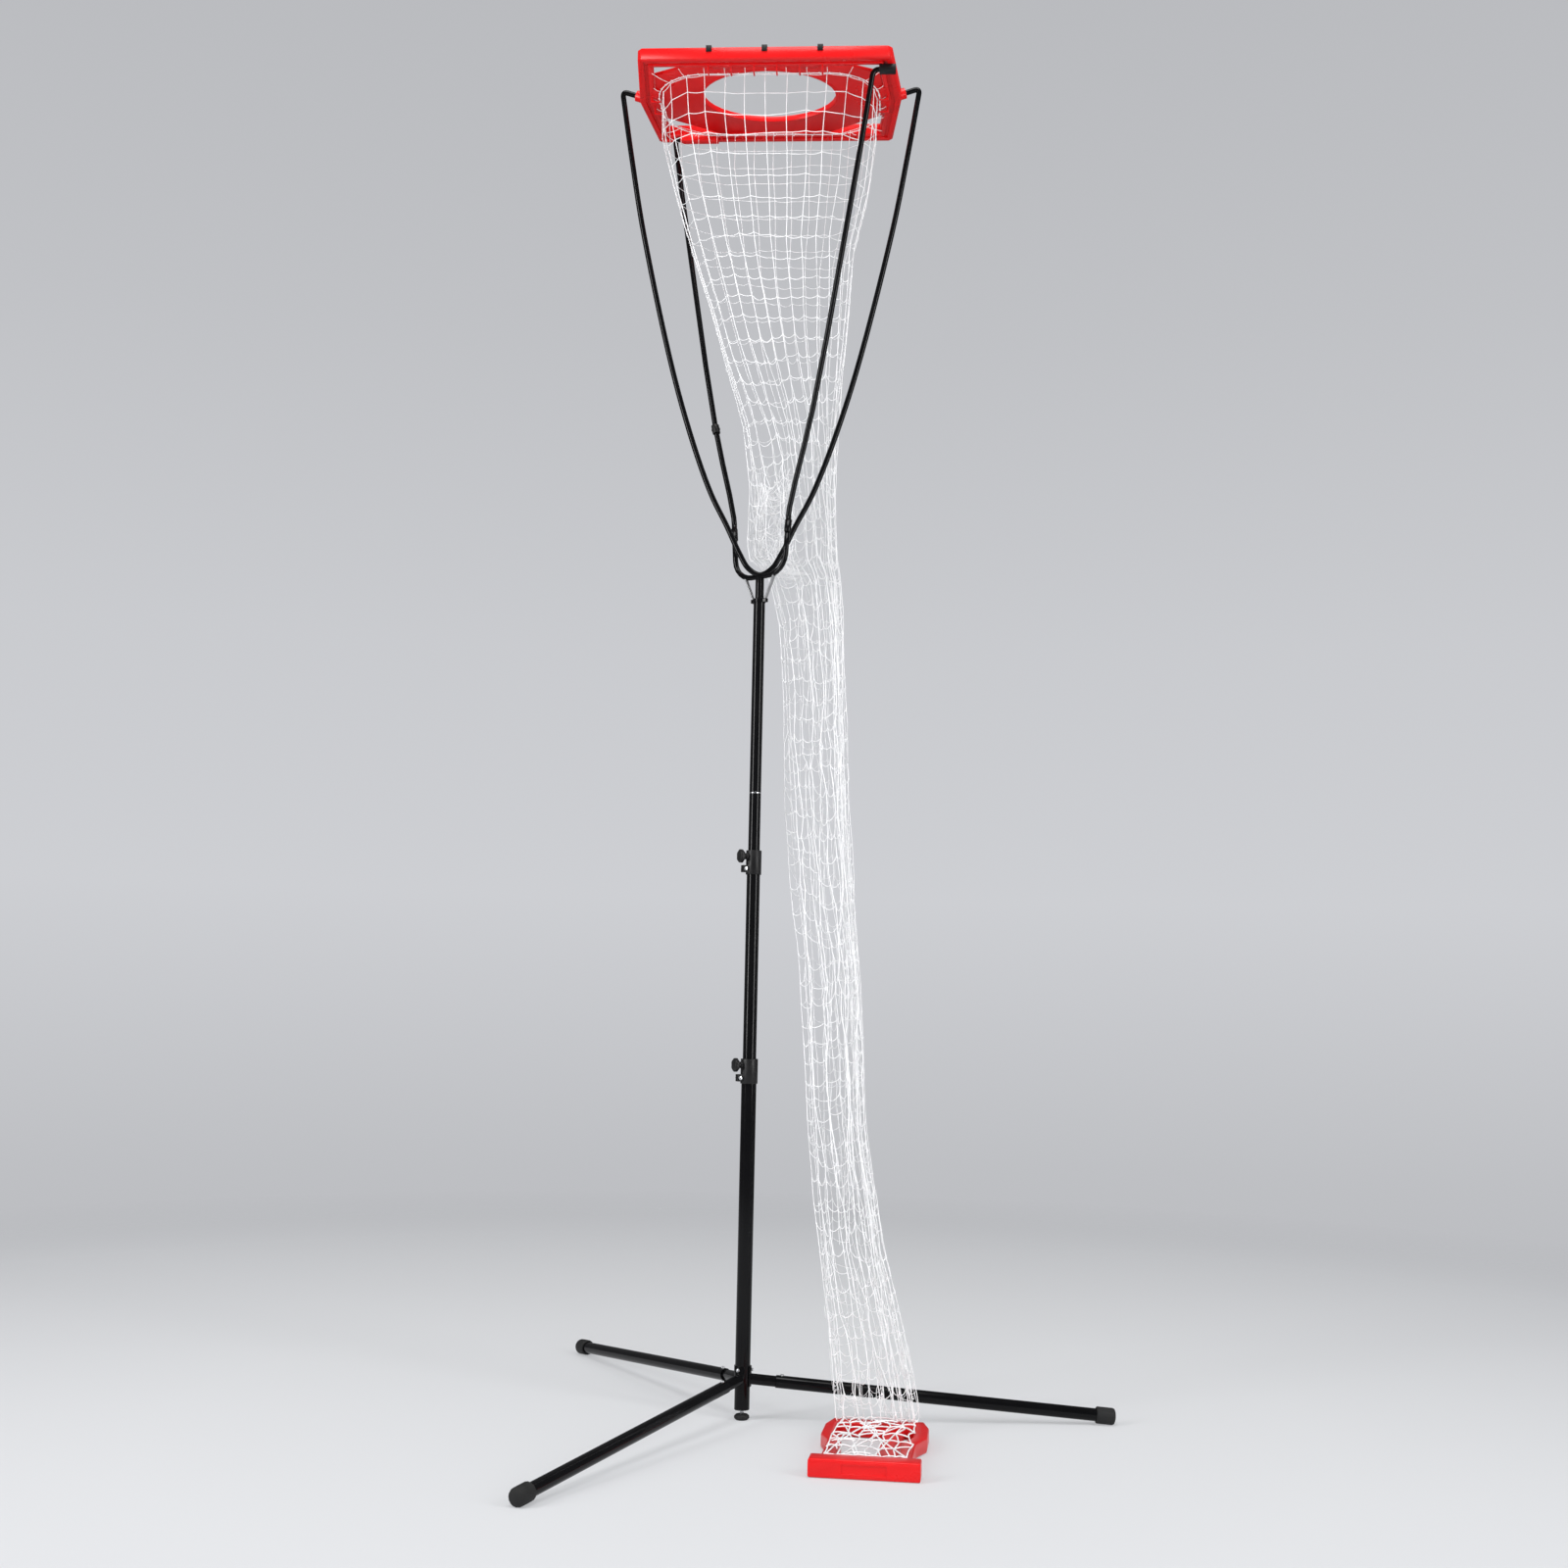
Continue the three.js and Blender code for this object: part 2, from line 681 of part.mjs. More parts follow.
// Cross yoke: a square-cornered base, and two prongs that plug on it and hook under the frame's bars
const hookHeight = frameBottom - seatGap - socketHeight / 2;
const crossTurn = toRadians(crossYokeAngle);
const crossYokeJoint = crotchHeight + crossYokeJointRise;
const prongClipHeight = crossYokeJoint + prongClipRise;
const prongStart = vector(crossYokeJointHalfWidth, 0, crossYokeJoint);
const crossCornerX = crossYokeBaseHalfWidth - crossYokeCornerRadius;
const crossBottom = crotchHeight - crossYokeDrop;
const crossSide = vector(crossYokeBaseHalfWidth, 0, crossBottom + crossYokeCornerRadius);
const crossLean = Math.atan2(prongStart.x - crossSide.x, prongStart.z - crossSide.z);

function crossBasePath() {
  const corner = Array.from({ length: 7 }, (_, index) => {
    const angle = mix(-quarter, -crossLean, index / 6);
    const x = crossCornerX + crossYokeCornerRadius * Math.cos(angle);
    return vector(x, 0, crossSide.z + crossYokeCornerRadius * Math.sin(angle));
  });
  const end = towards(prongStart, crossSide, seatGap);
  return mirroredPath([end, ...corner.reverse()]);
}

const crossRod = (growth = 0) => bentRod(crossBasePath(), forkRodRadius + growth).rotateZ(-crossTurn);

function prongCorner() {
  return vector(crossYokeHalfWidth, 0, hookHeight);
}

function prongPath(turn) {
  const swung = (point) => point.clone().applyAxisAngle(upward, turn);
  const corner = swung(prongCorner());
  const body = [prongStart, ...crossYokeShares.map(([across, up]) => {
    return vector(across * crossYokeHalfWidth, 0, mix(crossYokeJoint, hookHeight, up));
  })].map(swung);
  const bendStart = towards(corner, body[body.length - 1], crossYokeBend);
  const bendEnd = corner.clone().add(vector(crossYokeBend, 0, 0));
  const end = corner.clone().add(vector(crossYokeHook, 0, 0));
  const sweep = new THREE.CatmullRomCurve3([...body, bendStart]).getPoints(12);
  const bend = new THREE.QuadraticBezierCurve3(bendStart, corner, bendEnd).getPoints(4);
  return [...sweep, ...bend.slice(1), end];
}

function ferrule(turn) {
  const bore = forkRodRadius + seatGap;
  const half = ferruleLength / 2;
  const outer = bore + ferruleWall;
  const profile = [[bore, -half], [outer, -half], [outer, half], [0, half], [0, 0], [bore, 0]];
  const sleeve = revolve(profile, 14).rotateY(crossLean);
  return sleeve.translate(prongStart.x, 0, prongStart.z).rotateZ(turn);
}

function makeProng(name, turn) {
  const path = prongPath(turn);
  const body = join(bentRod(path, forkRodRadius), ferrule(turn));
  place(`cross_yoke_prong_${name}`, body, blackPaint());
  return path;
}

// A small snap-on clip with an ear at each side, that holds the net's edge to the prong
function makeProngClip(path) {
  const above = path.findIndex((point) => point.z > prongClipHeight);
  const [low, high] = [path[above - 1], path[above]];
  const centre = low.clone().lerp(high, (prongClipHeight - low.z) / (high.z - low.z));
  const bore = forkRodRadius + prongClipGap;
  const ring = rod(bore + prongClipWall, -prongClipLength / 2, prongClipLength / 2, 16);
  const ears = rod(prongClipEarHeight / 2, -prongClipEarThickness / 2, prongClipEarThickness / 2, 12);
  ears.scale(prongClipReach * 2 / prongClipEarHeight, 1, 1).rotateX(quarter);
  const space = rod(bore, -prongClipLength, prongClipLength, 16);
  const clip = cut(join(ring, ears), space);
  const tilt = new THREE.Quaternion().setFromUnitVectors(upward, high.clone().sub(low).normalize());
  clip.applyQuaternion(tilt).translate(centre.x, centre.y, centre.z);
  place('prong_clip', clip, blackPlastic());
}

// The collar that closes the pole's top, the stem through it, and the two straps to the cross yoke
function makeForkFoot() {
  const bore = forkStemRadius + seatGap;
  const bottom = poleTopHeight + seatGap;
  const top = bottom + forkCollarHeight;
  const plug = [
    [bore, bottom - forkCollarPlug], [upperBore - seatGap, bottom - forkCollarPlug],
    [upperBore - seatGap, bottom], [forkCollarRadius, bottom], [forkCollarRadius, top], [bore, top],
  ];
  const ears = box(-earReach, earReach, -earWidth / 2, earWidth / 2, bottom, top);
  const space = rod(bore, bottom - cutOverrun, top + cutOverrun);
  const collar = join(revolve(plug), cut(ears, space)).rotateZ(-crossTurn);
  place('fork_collar', collar, blackPaint());
  const stem = rod(forkStemRadius, poleTopHeight - forkStemInsertion, crossBottom);
  place('fork_stem', cut(stem, crossRod(seatGap), sideRod(seatGap)), blackPaint());
  makeGusset('gusset_near', top + seatGap, -crossTurn);
  makeGusset('gusset_far', top + seatGap, Math.PI - crossTurn);
}

function makeGusset(name, floor, turn) {
  const inCorner = gussetSpread - crossCornerX;
  const rise = crossYokeCornerRadius - Math.sqrt(crossYokeCornerRadius ** 2 - inCorner ** 2);
  const top = crossBottom + rise;
  const lean = Math.atan2(gussetSpread - gussetFoot, top - floor);
  const length = Math.hypot(gussetSpread - gussetFoot, top - floor);
  const half = gussetThickness / 2;
  const strap = box(-half, half, -gussetWidth / 2, gussetWidth / 2, -length - cutOverrun, 0);
  strap.rotateY(lean).translate(gussetSpread, 0, top).rotateZ(turn);
  const below = rod(gussetSpread + cutOverrun, floor - 2 * cutOverrun, floor);
  place(name, cut(strap, below, crossRod(seatGap)), greySteel());
}

function makeFork() {
  makeForkFoot();
  place('side_yoke', sideRod(), blackPaint());
  place('cross_yoke_base', cut(crossRod(), sideRod(seatGap)), blackPaint());
  makeProng('near', -crossTurn);
  const far = makeProng('far', Math.PI - crossTurn);
  makeProngClip(far);
}

// Target frame: four mitred mouldings joined by tongues
const frameTop = frameBottom + frameHeight;
const sideLean = (frameMidHalfWidth - frameHalfWidth) / frameHalfDepth;
const innerDepth = frameHalfDepth - barDepth;
const innerAt = (y) => frameMidHalfWidth - sideLean * Math.abs(y) - sideWidth;
const mitreAt = (share) => [
  mix(innerAt(innerDepth), frameHalfWidth, share), mix(innerDepth, frameHalfDepth, share),
];

function bothSides(half) {
  const left = half.map(([x, y]) => [-x, y]).reverse();
  return [...half, ...left];
}

// The line round the frame's inside, moved outwards
function frameLine(outset) {
  const y = innerDepth + outset;
  const corner = innerAt(y) + outset;
  const middle = innerAt(0) + outset;
  return [[corner, -y], [middle, 0], [corner, y], [-corner, y], [-middle, 0], [-corner, -y]];
}

function frameRing() {
  const nearCorner = frameHalfWidth - frameCornerCut;
  const nearSide = frameHalfDepth - frameCornerCut;
  const half = [
    [nearCorner, -frameHalfDepth], [frameHalfWidth, -nearSide], [frameMidHalfWidth, 0],
    [frameHalfWidth, nearSide], [nearCorner, frameHalfDepth],
  ];
  const ring = prism(bothSides(half), frameBottom, frameTop, barRounding, openPath(frameLine(0)));
  const grooveEdge = frameLine(grooveInset + grooveWidth);
  const grooveCore = openPath(frameLine(grooveInset));
  const floor = frameBottom - cutOverrun;
  return cut(ring, prism(grooveEdge, floor, frameBottom + grooveDepth, 0, grooveCore));
}

function frameWedge(points, shiftX, shiftY) {
  const wedge = prism(points, frameBottom - cutOverrun, frameTop + cutOverrun);
  return wedge.translate(shiftX, shiftY, 0);
}

function tongue(side, growth) {
  const [x, y] = mitreAt(0.5);
  const [outX, outY] = mitreAt(1);
  const turn = quarter - Math.atan2(outY - y, outX - x);
  const halfLength = tongueLength / 2 + growth;
  const halfWidth = tongueWidth / 2 + growth;
  const halfHeight = tongueHeight / 2 + growth;
  const body = box(-halfLength, halfLength, -halfWidth, halfWidth, -halfHeight, halfHeight);
  return body.rotateZ(-side * turn).translate(x, side * y, (frameBottom + frameTop) / 2);
}

// The hooks moulded under the frame, whose toes reach in below the cord round the net's mouth
const netTop = frameBottom - netDrop;
const rimOutset = rimCordRadius + rimCordGap;
const rimHeight = netTop - cordWidth / 2;

function hook(cordReach, faceReach) {
  const toeTop = rimHeight - rimCordRadius - seatGap;
  const root = faceReach + barRounding;
  const half = hookPost / 2;
  const post = box(-half, half, root, root + hookPost, toeTop - hookToe, frameBottom + barRounding);
  const toe = box(-half, half, cordReach - half, root + hookPost, toeTop - hookToe, toeTop);
  return join(post, toe);
}

function ledge(left, right, near, far) {
  return box(left, right, near, far, frameBottom, frameBottom + ledgeHeight);
}

function frameBar(ring) {
  const [outX, outY] = mitreAt(1 + mitreOverrunShare);
  const [inX, inY] = mitreAt(-mitreOverrunShare);
  const points = [[-outX, -outY], [outX, -outY], [inX, -inY], [-inX, -inY]];
  const bar = common(ring, frameWedge(points, 0, -mitreGap / 2));
  const ledges = [-1, 1].map((side) => {
    const middle = side * barLedgePlace;
    const root = -innerDepth - 2 * barRounding;
    return ledge(middle - barLedgeHalfLength, middle + barLedgeHalfLength, root, ledgeReach - innerDepth);
  });
  const hooks = barHookPlaces.flatMap((x) => [-x, x]).map((x) => {
    return hook(netHalfDepth + rimOutset, innerDepth).rotateZ(Math.PI).translate(x, 0, 0);
  });
  const pocket = tongue(-1, slideGap);
  const mirrored = tongue(1, slideGap).rotateZ(Math.PI);
  return cut(join(bar, ...ledges, ...hooks), pocket, mirrored);
}

function frameSide(ring) {
  const [outX, outY] = mitreAt(1 + mitreOverrunShare);
  const [inX, inY] = mitreAt(-mitreOverrunShare);
  const points = [
    [inX, -inY], [outX, -outY], [frameMidHalfWidth + cutOverrun, 0], [outX, outY], [inX, inY],
  ];
  const side = common(ring, frameWedge(points, mitreGap / 2, 0));
  const edge = innerAt(sideLedgeHalfLength);
  const root = edge + 2 * barRounding;
  const shelf = ledge(edge - ledgeReach, root, -sideLedgeHalfLength, sideLedgeHalfLength);
  const hooks = [-sideHookPlace, sideHookPlace].map((y) => {
    return hook(netHalfWidth + rimOutset, innerAt(y)).rotateZ(-quarter).translate(0, y, 0);
  });
  const onAxis = (geometry) => {
    return zToX(geometry).rotateY(-toRadians(sideYokeTipAngle)).translate(frameMidHalfWidth, 0, bossHeight);
  };
  const boss = onAxis(rod(bossRadius, -bossRoot, bossReach, 16));
  const bore = onAxis(rod(forkRodRadius + seatGap, -bossBore, bossReach + cutOverrun, 12));
  return cut(join(side, shelf, ...hooks, boss, tongue(-1, 0), tongue(1, 0)), bore);
}

function makeFrame() {
  const ring = frameRing();
  const bar = frameBar(ring);
  const side = frameSide(ring);
  place('frame_near_bar', bar, redPlastic());
  place('frame_far_bar', bar.clone().rotateZ(Math.PI), redPlastic());
  place('frame_right_side', side, redPlastic());
  place('frame_left_side', side.clone().rotateZ(Math.PI), redPlastic());
}

// Sockets that the cross yoke's hooks plug into, one under each bar
function makeSocket(name, turn, length, material) {
  const corner = prongCorner().applyAxisAngle(upward, turn);
  const start = corner.x + socketGap;
  const half = socketDepth / 2;
  const outline = [[start, -half], [start + length, -half], [start + length, half], [start, half]];
  const top = frameBottom - seatGap;
  const body = prism(outline, top - socketHeight, top, socketRounding).translate(0, corner.y, 0);
  const end = corner.x + crossYokeHook + seatGap;
  const bore = zToX(rod(forkRodRadius + seatGap, start - cutOverrun, end, 12));
  place(name, cut(body, bore.translate(0, corner.y, hookHeight)), material);
}

// Target panel: a flat board with an oval hole, clipped down to the front bar
function panelOutline() {
  const edge = innerDepth - panelMargin;
  const tip = (y) => innerAt(y) - panelMargin;
  const right = [
    [panelNearHalfWidth, -edge], [tip(panelTipNear), -panelTipNear], [tip(0), 0],
    [tip(panelTipFar), panelTipFar], [panelFarHalfWidth, edge], [panelSlitHalfWidth, edge],
    [panelSlitHalfWidth, edge - panelSlitDepth],
  ];
  const left = right.map(([x, y]) => [-x, y]).reverse();
  return [...right, ...left];
}

function holePath(growth) {
  const path = new THREE.Path();
  path.absellipse(0, -holeForward, holeHalfWidth + growth, holeHalfDepth + growth, 0, 2 * Math.PI, true);
  return path;
}

function makePanel() {
  const bottom = frameBottom + ledgeHeight + seatGap;
  const top = bottom + panelThickness;
  const board = prism(panelOutline(), bottom, top, panelRounding, holePath(0));
  const rimOutline = holePath(holeRimWidth).getPoints(18).slice(1).map((point) => [point.x, point.y]);
  const rim = prism(rimOutline, bottom - holeRimRise, top + holeRimRise, 0, holePath(0));
  place('target_panel', join(board, rim), redPlastic());
}

function makePanelClips() {
  const face = -frameHalfDepth - seatGap;
  const seat = frameTop + seatGap;
  ['left', 'middle', 'right'].forEach((name, index) => {
    const left = (index - 1) * clipSpacing - clipWidth / 2;
    const right = left + clipWidth;
    const foot = box(left, right, face - clipThickness, face + clipFoot, seat, seat + clipThickness);
    const drop = box(left, right, face - clipThickness, face, seat - clipDrop, seat + clipThickness);
    place(`panel_clip_${name}`, join(foot, drop), blackPlastic());
  });
}

// Net sections: rounded rectangles that drift and narrow on the way down
const funnelBottom = crotchHeight + funnelBottomRise;
const trayNetBottom = trayHeight + seatGap;
const chuteBottom = trayNetBottom + cordWidth;
const netNeck = funnelBottom + netNeckRise;

// How far up the net a height lies, by the mouth, the neck, the funnel's end and the tray
function netShareAt(height) {
  if (height > netNeck) return mix(netNeckShare, 1, (height - netNeck) / (netTop - netNeck));
  if (height > funnelBottom) return mix(funnelBottomShare, netNeckShare, (height - funnelBottom) / netNeckRise);
  return (funnelBottomShare * (height - chuteBottom)) / (funnelBottom - chuteBottom);
}

function netSection(height) {
  const share = THREE.MathUtils.clamp(netShareAt(height), 0, 1);
  const below = Math.max(netSectionShares.findIndex(([level]) => level <= share), 1);
  const [above, under] = [netSectionShares[below - 1], netSectionShares[below]];
  const way = (share - under[0]) / (above[0] - under[0]);
  const [, left, right, middle, depth] = under.map((value, index) => mix(value, above[index], way));
  const halfDepth = depth * netHalfDepth;
  return {
    x: ((left + right) / 2) * netHalfWidth,
    y: middle * netHalfDepth,
    halfWidth: ((right - left) / 2) * netHalfWidth,
    halfDepth,
    radius: Math.min(netCornerRadius, netCornerShare * halfDepth),
  };
}

// A spot on a section. Its place counts quarters, each from the middle of a corner, first the front.
function aroundNet(height, place, shift, outset) {
  const section = netSection(height);
  const side = Math.floor(place) % 4;
  const frontal = side % 2 === 0;
  const half = frontal ? section.halfWidth : section.halfDepth;
  const reach = frontal ? section.halfDepth : section.halfWidth;
  const straight = 2 * (half - section.radius);
  const arc = (section.radius * quarter) / 2;
  const along = (place - Math.floor(place)) * (straight + 2 * arc) + shift;
  const run = THREE.MathUtils.clamp(along - arc, 0, straight);
  const turn = (along - arc - run) / section.radius;
  const radius = section.radius + outset;
  const x = run - straight / 2 + radius * Math.sin(turn);
  const y = -(reach - section.radius) - radius * Math.cos(turn);
  const spot = vector(x, y, 0).applyAxisAngle(upward, side * quarter);
  return spot.add(vector(section.x, section.y, height));
}

// The two edges of each cord of a net, the first and last cord lying inside the net's own edge
function cordEdges(cells, wraps) {
  const count = wraps ? cells : cells + 1;
  return Array.from({ length: count }, (_, index) => {
    const share = index / cells;
    const lean = wraps ? 0 : (0.5 - share) * (cordWidth + seatGap);
    return [{ share, shift: lean - cordWidth / 2 }, { share, shift: lean + cordWidth / 2 }];
  }).flat();
}

// A net as one solid. Columns and rows give the cords' edges, and pointAt a spot at a depth below its face.
function lattice(columns, rows, wraps, pointAt) {
  const face = (inset) => columns.map((column) => rows.map((row) => pointAt(column, row, inset)));
  const [outer, inner] = [face(0), face(cordWidth)];
  const columnCount = wraps ? columns.length : columns.length - 1;
  const filled = (column, row) => {
    const inside = row >= 0 && row < rows.length - 1 && (wraps || (column >= 0 && column < columnCount));
    return inside && (column % 2 === 0 || row % 2 === 0);
  };
  const positions = [];
  const quad = (a, b, c, d) => positions.push(...[a, b, c, a, c, d].flatMap((point) => point.toArray()));
  for (let i = 0; i < columnCount; i += 1) {
    for (let j = 0; j < rows.length - 1; j += 1) {
      if (filled(i, j)) latticeCell(outer, inner, i, j, filled, quad);
    }
  }
  const geometry = new THREE.BufferGeometry();
  geometry.setAttribute('position', new THREE.Float32BufferAttribute(positions, 3));
  return geometry;
}

function latticeCell(outer, inner, i, j, filled, quad) {
  const next = (i + 1) % outer.length;
  const [a, b, c, d] = [outer[i][j], outer[i][j + 1], outer[next][j + 1], outer[next][j]];
  const [e, f, g, h] = [inner[i][j], inner[i][j + 1], inner[next][j + 1], inner[next][j]];
  quad(a, b, c, d);
  quad(h, g, f, e);
  if (!filled(i + 1, j)) quad(d, c, g, h);
  if (!filled(i - 1, j)) quad(a, e, f, b);
  if (!filled(i, j - 1)) quad(a, d, h, e);
  if (!filled(i, j + 1)) quad(b, f, g, c);
}

function makeNetPiece(name, top, bottom, first, span, cells) {
  const wraps = span === 4;
  const pointAt = (column, row, inset) => {
    const height = mix(top, bottom, row.share) - row.shift;
    return aroundNet(height, first + span * column.share, column.shift, -inset);
  };
  const geometry = lattice(cordEdges(cells[0], wraps), cordEdges(cells[1], false), wraps, pointAt);
  place(name, geometry, whiteCord());
}

function makeNet() {
  ['front', 'right', 'rear', 'left'].forEach((name, side) => {
    makeNetPiece(`net_funnel_${name}`, netTop, funnelBottom, side, 1, [4, 7]);
  });
  makeNetPiece('net_chute_upper', funnelBottom, chuteSplitHeight, 0, 4, [8, 4]);
  makeNetPiece('net_chute_lower', chuteSplitHeight, chuteFootHeight, 0, 4, [8, 4]);
  makeNetPiece('net_chute_foot', chuteFootHeight, chuteBottom, 0, 4, [8, 3]);
}

// The cord round the net's mouth, its ends butted at the back
function makeRimCord() {
  const steps = 40;
  const points = Array.from({ length: steps + 1 }, (_, index) => {
    const shift = index === 0 ? seatGap : index === steps ? -seatGap : 0;
    return aroundNet(rimHeight, 2.5 + (4 * index) / steps, shift, rimOutset);
  });
  place('net_rim_cord', bentRod(points, rimCordRadius, 6), whiteCord());
}

// Floor tray: a waisted ring with a deep front bar, a low rib along it, and its own net
function trayShell() {
  const front = trayFrontDepth - trayHalfLength;
  const outer = bothSides([
    [trayHalfWidth, -trayHalfLength], [trayHalfWidth, trayNearFlare - trayHalfLength],
    [trayWaistHalfWidth, front], [trayWaistHalfWidth, trayWaistReach], [trayHalfWidth, trayLobeNearReach],
    [trayHalfWidth, trayLobeFarReach], [trayTailHalfWidth, trayHalfLength],
  ]);
  const rear = trayHalfLength - trayRearDepth;
  const inner = bothSides([
    [trayWaistHalfWidth - traySideWidth, front], [trayWaistHalfWidth - traySideWidth, trayWaistReach],
    [trayHalfWidth - traySideWidth, trayLobeNearReach], [trayHalfWidth - traySideWidth, trayLobeFarReach],
    [trayTailHalfWidth - traySideWidth, rear],
  ]);
  return prism(outer, 0, trayHeight, trayRounding, openPath(inner));
}

function makeTray() {
  const group = turned(trayAngle);
  group.position.set(trayX, trayY, 0);
  const front = trayFrontDepth - trayHalfLength;
  const rear = trayHalfLength - trayRearDepth;
  const bar = bothSides([[trayHalfWidth, -trayHalfLength], [trayHalfWidth, front]]);
  const raised = prism(bar, 0, trayFrontHeight, trayRounding);
  const ribLeft = trayRibX - trayRibWidth / 2;
  const ribRoot = 2 * trayRounding;
  const rib = box(ribLeft, ribLeft + trayRibWidth, front - ribRoot, rear + ribRoot, 0, trayRibHeight);
  const recessBottom = (trayFrontHeight - recessHeight) / 2;
  const recessFloor = recessDepth - trayHalfLength;
  const recessFace = -trayHalfLength - cutOverrun;
  const recessTop = recessBottom + recessHeight;
  const recess = box(-recessHalfWidth, recessHalfWidth, recessFace, recessFloor, recessBottom, recessTop);
  place('tray_frame', cut(join(trayShell(), raised, rib), recess), redPlastic(), group);
  const pointAt = (column, row, inset) => {
    const x = mix(-trayNetHalfWidth, trayNetHalfWidth, column.share) + column.shift;
    const y = mix(trayHalfLength - trayRounding, front, row.share) - row.shift;
    return vector(x, y, trayNetBottom + cordWidth - inset);
  };
  place('tray_net', lattice(cordEdges(4, false), cordEdges(5, false), false, pointAt), whiteCord(), group);
}

makeFoot();
makePole();
makeLegs();
makeClamps();
makeFork();
makeFrame();
makeSocket('near_prong_socket', -crossTurn, nearSocketLength, blackPlastic());
makeSocket('far_prong_socket', Math.PI - crossTurn, farSocketLength, redPlastic());
makePanel();
makePanelClips();
makeNet();
makeRimCord();
makeTray();

export default model;
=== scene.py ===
import json
from math import asin, cos, pi, radians, sin, sqrt

import bmesh
import bpy
from mathutils import Matrix, Vector, noise


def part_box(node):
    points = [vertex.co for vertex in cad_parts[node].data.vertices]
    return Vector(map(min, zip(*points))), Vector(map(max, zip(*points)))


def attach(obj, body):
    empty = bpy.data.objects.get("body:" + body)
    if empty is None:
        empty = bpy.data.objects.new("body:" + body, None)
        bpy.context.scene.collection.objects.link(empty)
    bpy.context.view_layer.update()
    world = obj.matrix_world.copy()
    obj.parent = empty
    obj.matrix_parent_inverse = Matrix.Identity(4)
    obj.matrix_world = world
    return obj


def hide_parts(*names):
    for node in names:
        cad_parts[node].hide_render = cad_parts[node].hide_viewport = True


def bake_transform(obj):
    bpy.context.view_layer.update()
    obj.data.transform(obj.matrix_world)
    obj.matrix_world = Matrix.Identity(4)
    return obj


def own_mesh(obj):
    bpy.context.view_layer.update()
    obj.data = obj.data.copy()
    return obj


# Serving target net: metres, +Z up, the net hangs on +X and the tray lies towards -Y
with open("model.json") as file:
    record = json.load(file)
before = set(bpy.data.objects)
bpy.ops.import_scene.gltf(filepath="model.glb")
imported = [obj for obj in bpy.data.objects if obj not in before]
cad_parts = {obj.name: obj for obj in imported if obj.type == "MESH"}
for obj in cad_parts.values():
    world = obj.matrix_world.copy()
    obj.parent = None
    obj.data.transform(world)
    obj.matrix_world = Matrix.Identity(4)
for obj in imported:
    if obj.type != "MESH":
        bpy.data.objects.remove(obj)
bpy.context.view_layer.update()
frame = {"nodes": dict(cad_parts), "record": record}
cadNodes = frame["nodes"]
bodies = frame["record"]["behaviour"]["bodies"]
bodyOf = {nodeName: bodyName for bodyName, nodeNames in bodies.items() for nodeName in nodeNames}


def mix(a, b, way):
    return a + (b - a) * way


def smoothStep(low, high, value):
    way = min(max((value - low) / (high - low), 0), 1)
    return way * way * (3 - 2 * way)


# Camera, standing where the photograph was taken from
cameraSet = {"place": (0.305, -3.912, 0.882), "yaw": -0.062, "pitch": 0.115, "roll": 0.02, "lens": 41.8}


def makeCamera():
    yaw, pitch, roll = cameraSet["yaw"], cameraSet["pitch"], cameraSet["roll"]
    forward = Vector((sin(yaw) * cos(pitch), cos(yaw) * cos(pitch), sin(pitch)))
    right = Vector((cos(yaw), -sin(yaw), 0))
    up = right.cross(forward)
    across = right * cos(roll) + up * sin(roll)
    upright = up * cos(roll) - right * sin(roll)
    data = bpy.data.cameras.new("camera")
    data.lens = cameraSet["lens"]
    data.sensor_width = 36
    camera = bpy.data.objects.new("camera", data)
    turn = Matrix((across, upright, -forward)).transposed()
    camera.matrix_world = Matrix.Translation(cameraSet["place"]) @ turn.to_4x4()
    bpy.context.scene.collection.objects.link(camera)
    bpy.context.scene.camera = camera


makeCamera()
print("camera set")


# Shader helpers
def wire(tree, source, target):
    tree.links.new(source, target)


# A socket takes a number or a colour as it is, or a link from another node
def feed(tree, value, socket):
    if isinstance(value, bpy.types.NodeSocket):
        wire(tree, value, socket)
    elif isinstance(value, tuple):
        socket.default_value = (*value, 1)
    else:
        socket.default_value = value


def objectSpot(tree):
    return tree.nodes.new("ShaderNodeTexCoord").outputs["Object"]


def noiseMap(tree, scale, detail, roughness=0.5):
    node = tree.nodes.new("ShaderNodeTexNoise")
    feed(tree, scale, node.inputs["Scale"])
    node.inputs["Detail"].default_value = detail
    node.inputs["Roughness"].default_value = roughness
    wire(tree, objectSpot(tree), node.inputs["Vector"])
    return node.outputs["Fac"]


def remap(tree, value, low, high, toLow=0.0, toHigh=1.0):
    node = tree.nodes.new("ShaderNodeMapRange")
    for name, number in (("From Min", low), ("From Max", high), ("To Min", toLow), ("To Max", toHigh)):
        node.inputs[name].default_value = number
    wire(tree, value, node.inputs["Value"])
    return node.outputs["Result"]


def combine(tree, operation, first, second):
    node = tree.nodes.new("ShaderNodeMath")
    node.operation = operation
    node.use_clamp = operation != "MULTIPLY"
    feed(tree, first, node.inputs[0])
    feed(tree, second, node.inputs[1])
    return node.outputs["Value"]


def colourMix(tree, mask, first, second):
    node = tree.nodes.new("ShaderNodeMix")
    node.data_type = "RGBA"
    wire(tree, mask, node.inputs[0])
    feed(tree, first, node.inputs[6])
    feed(tree, second, node.inputs[7])
    return node.outputs[2]


def shaderMix(tree, mask, first, second):
    node = tree.nodes.new("ShaderNodeMixShader")
    for source, socket in zip((mask, first, second), node.inputs):
        wire(tree, source, socket)
    return node.outputs[0]


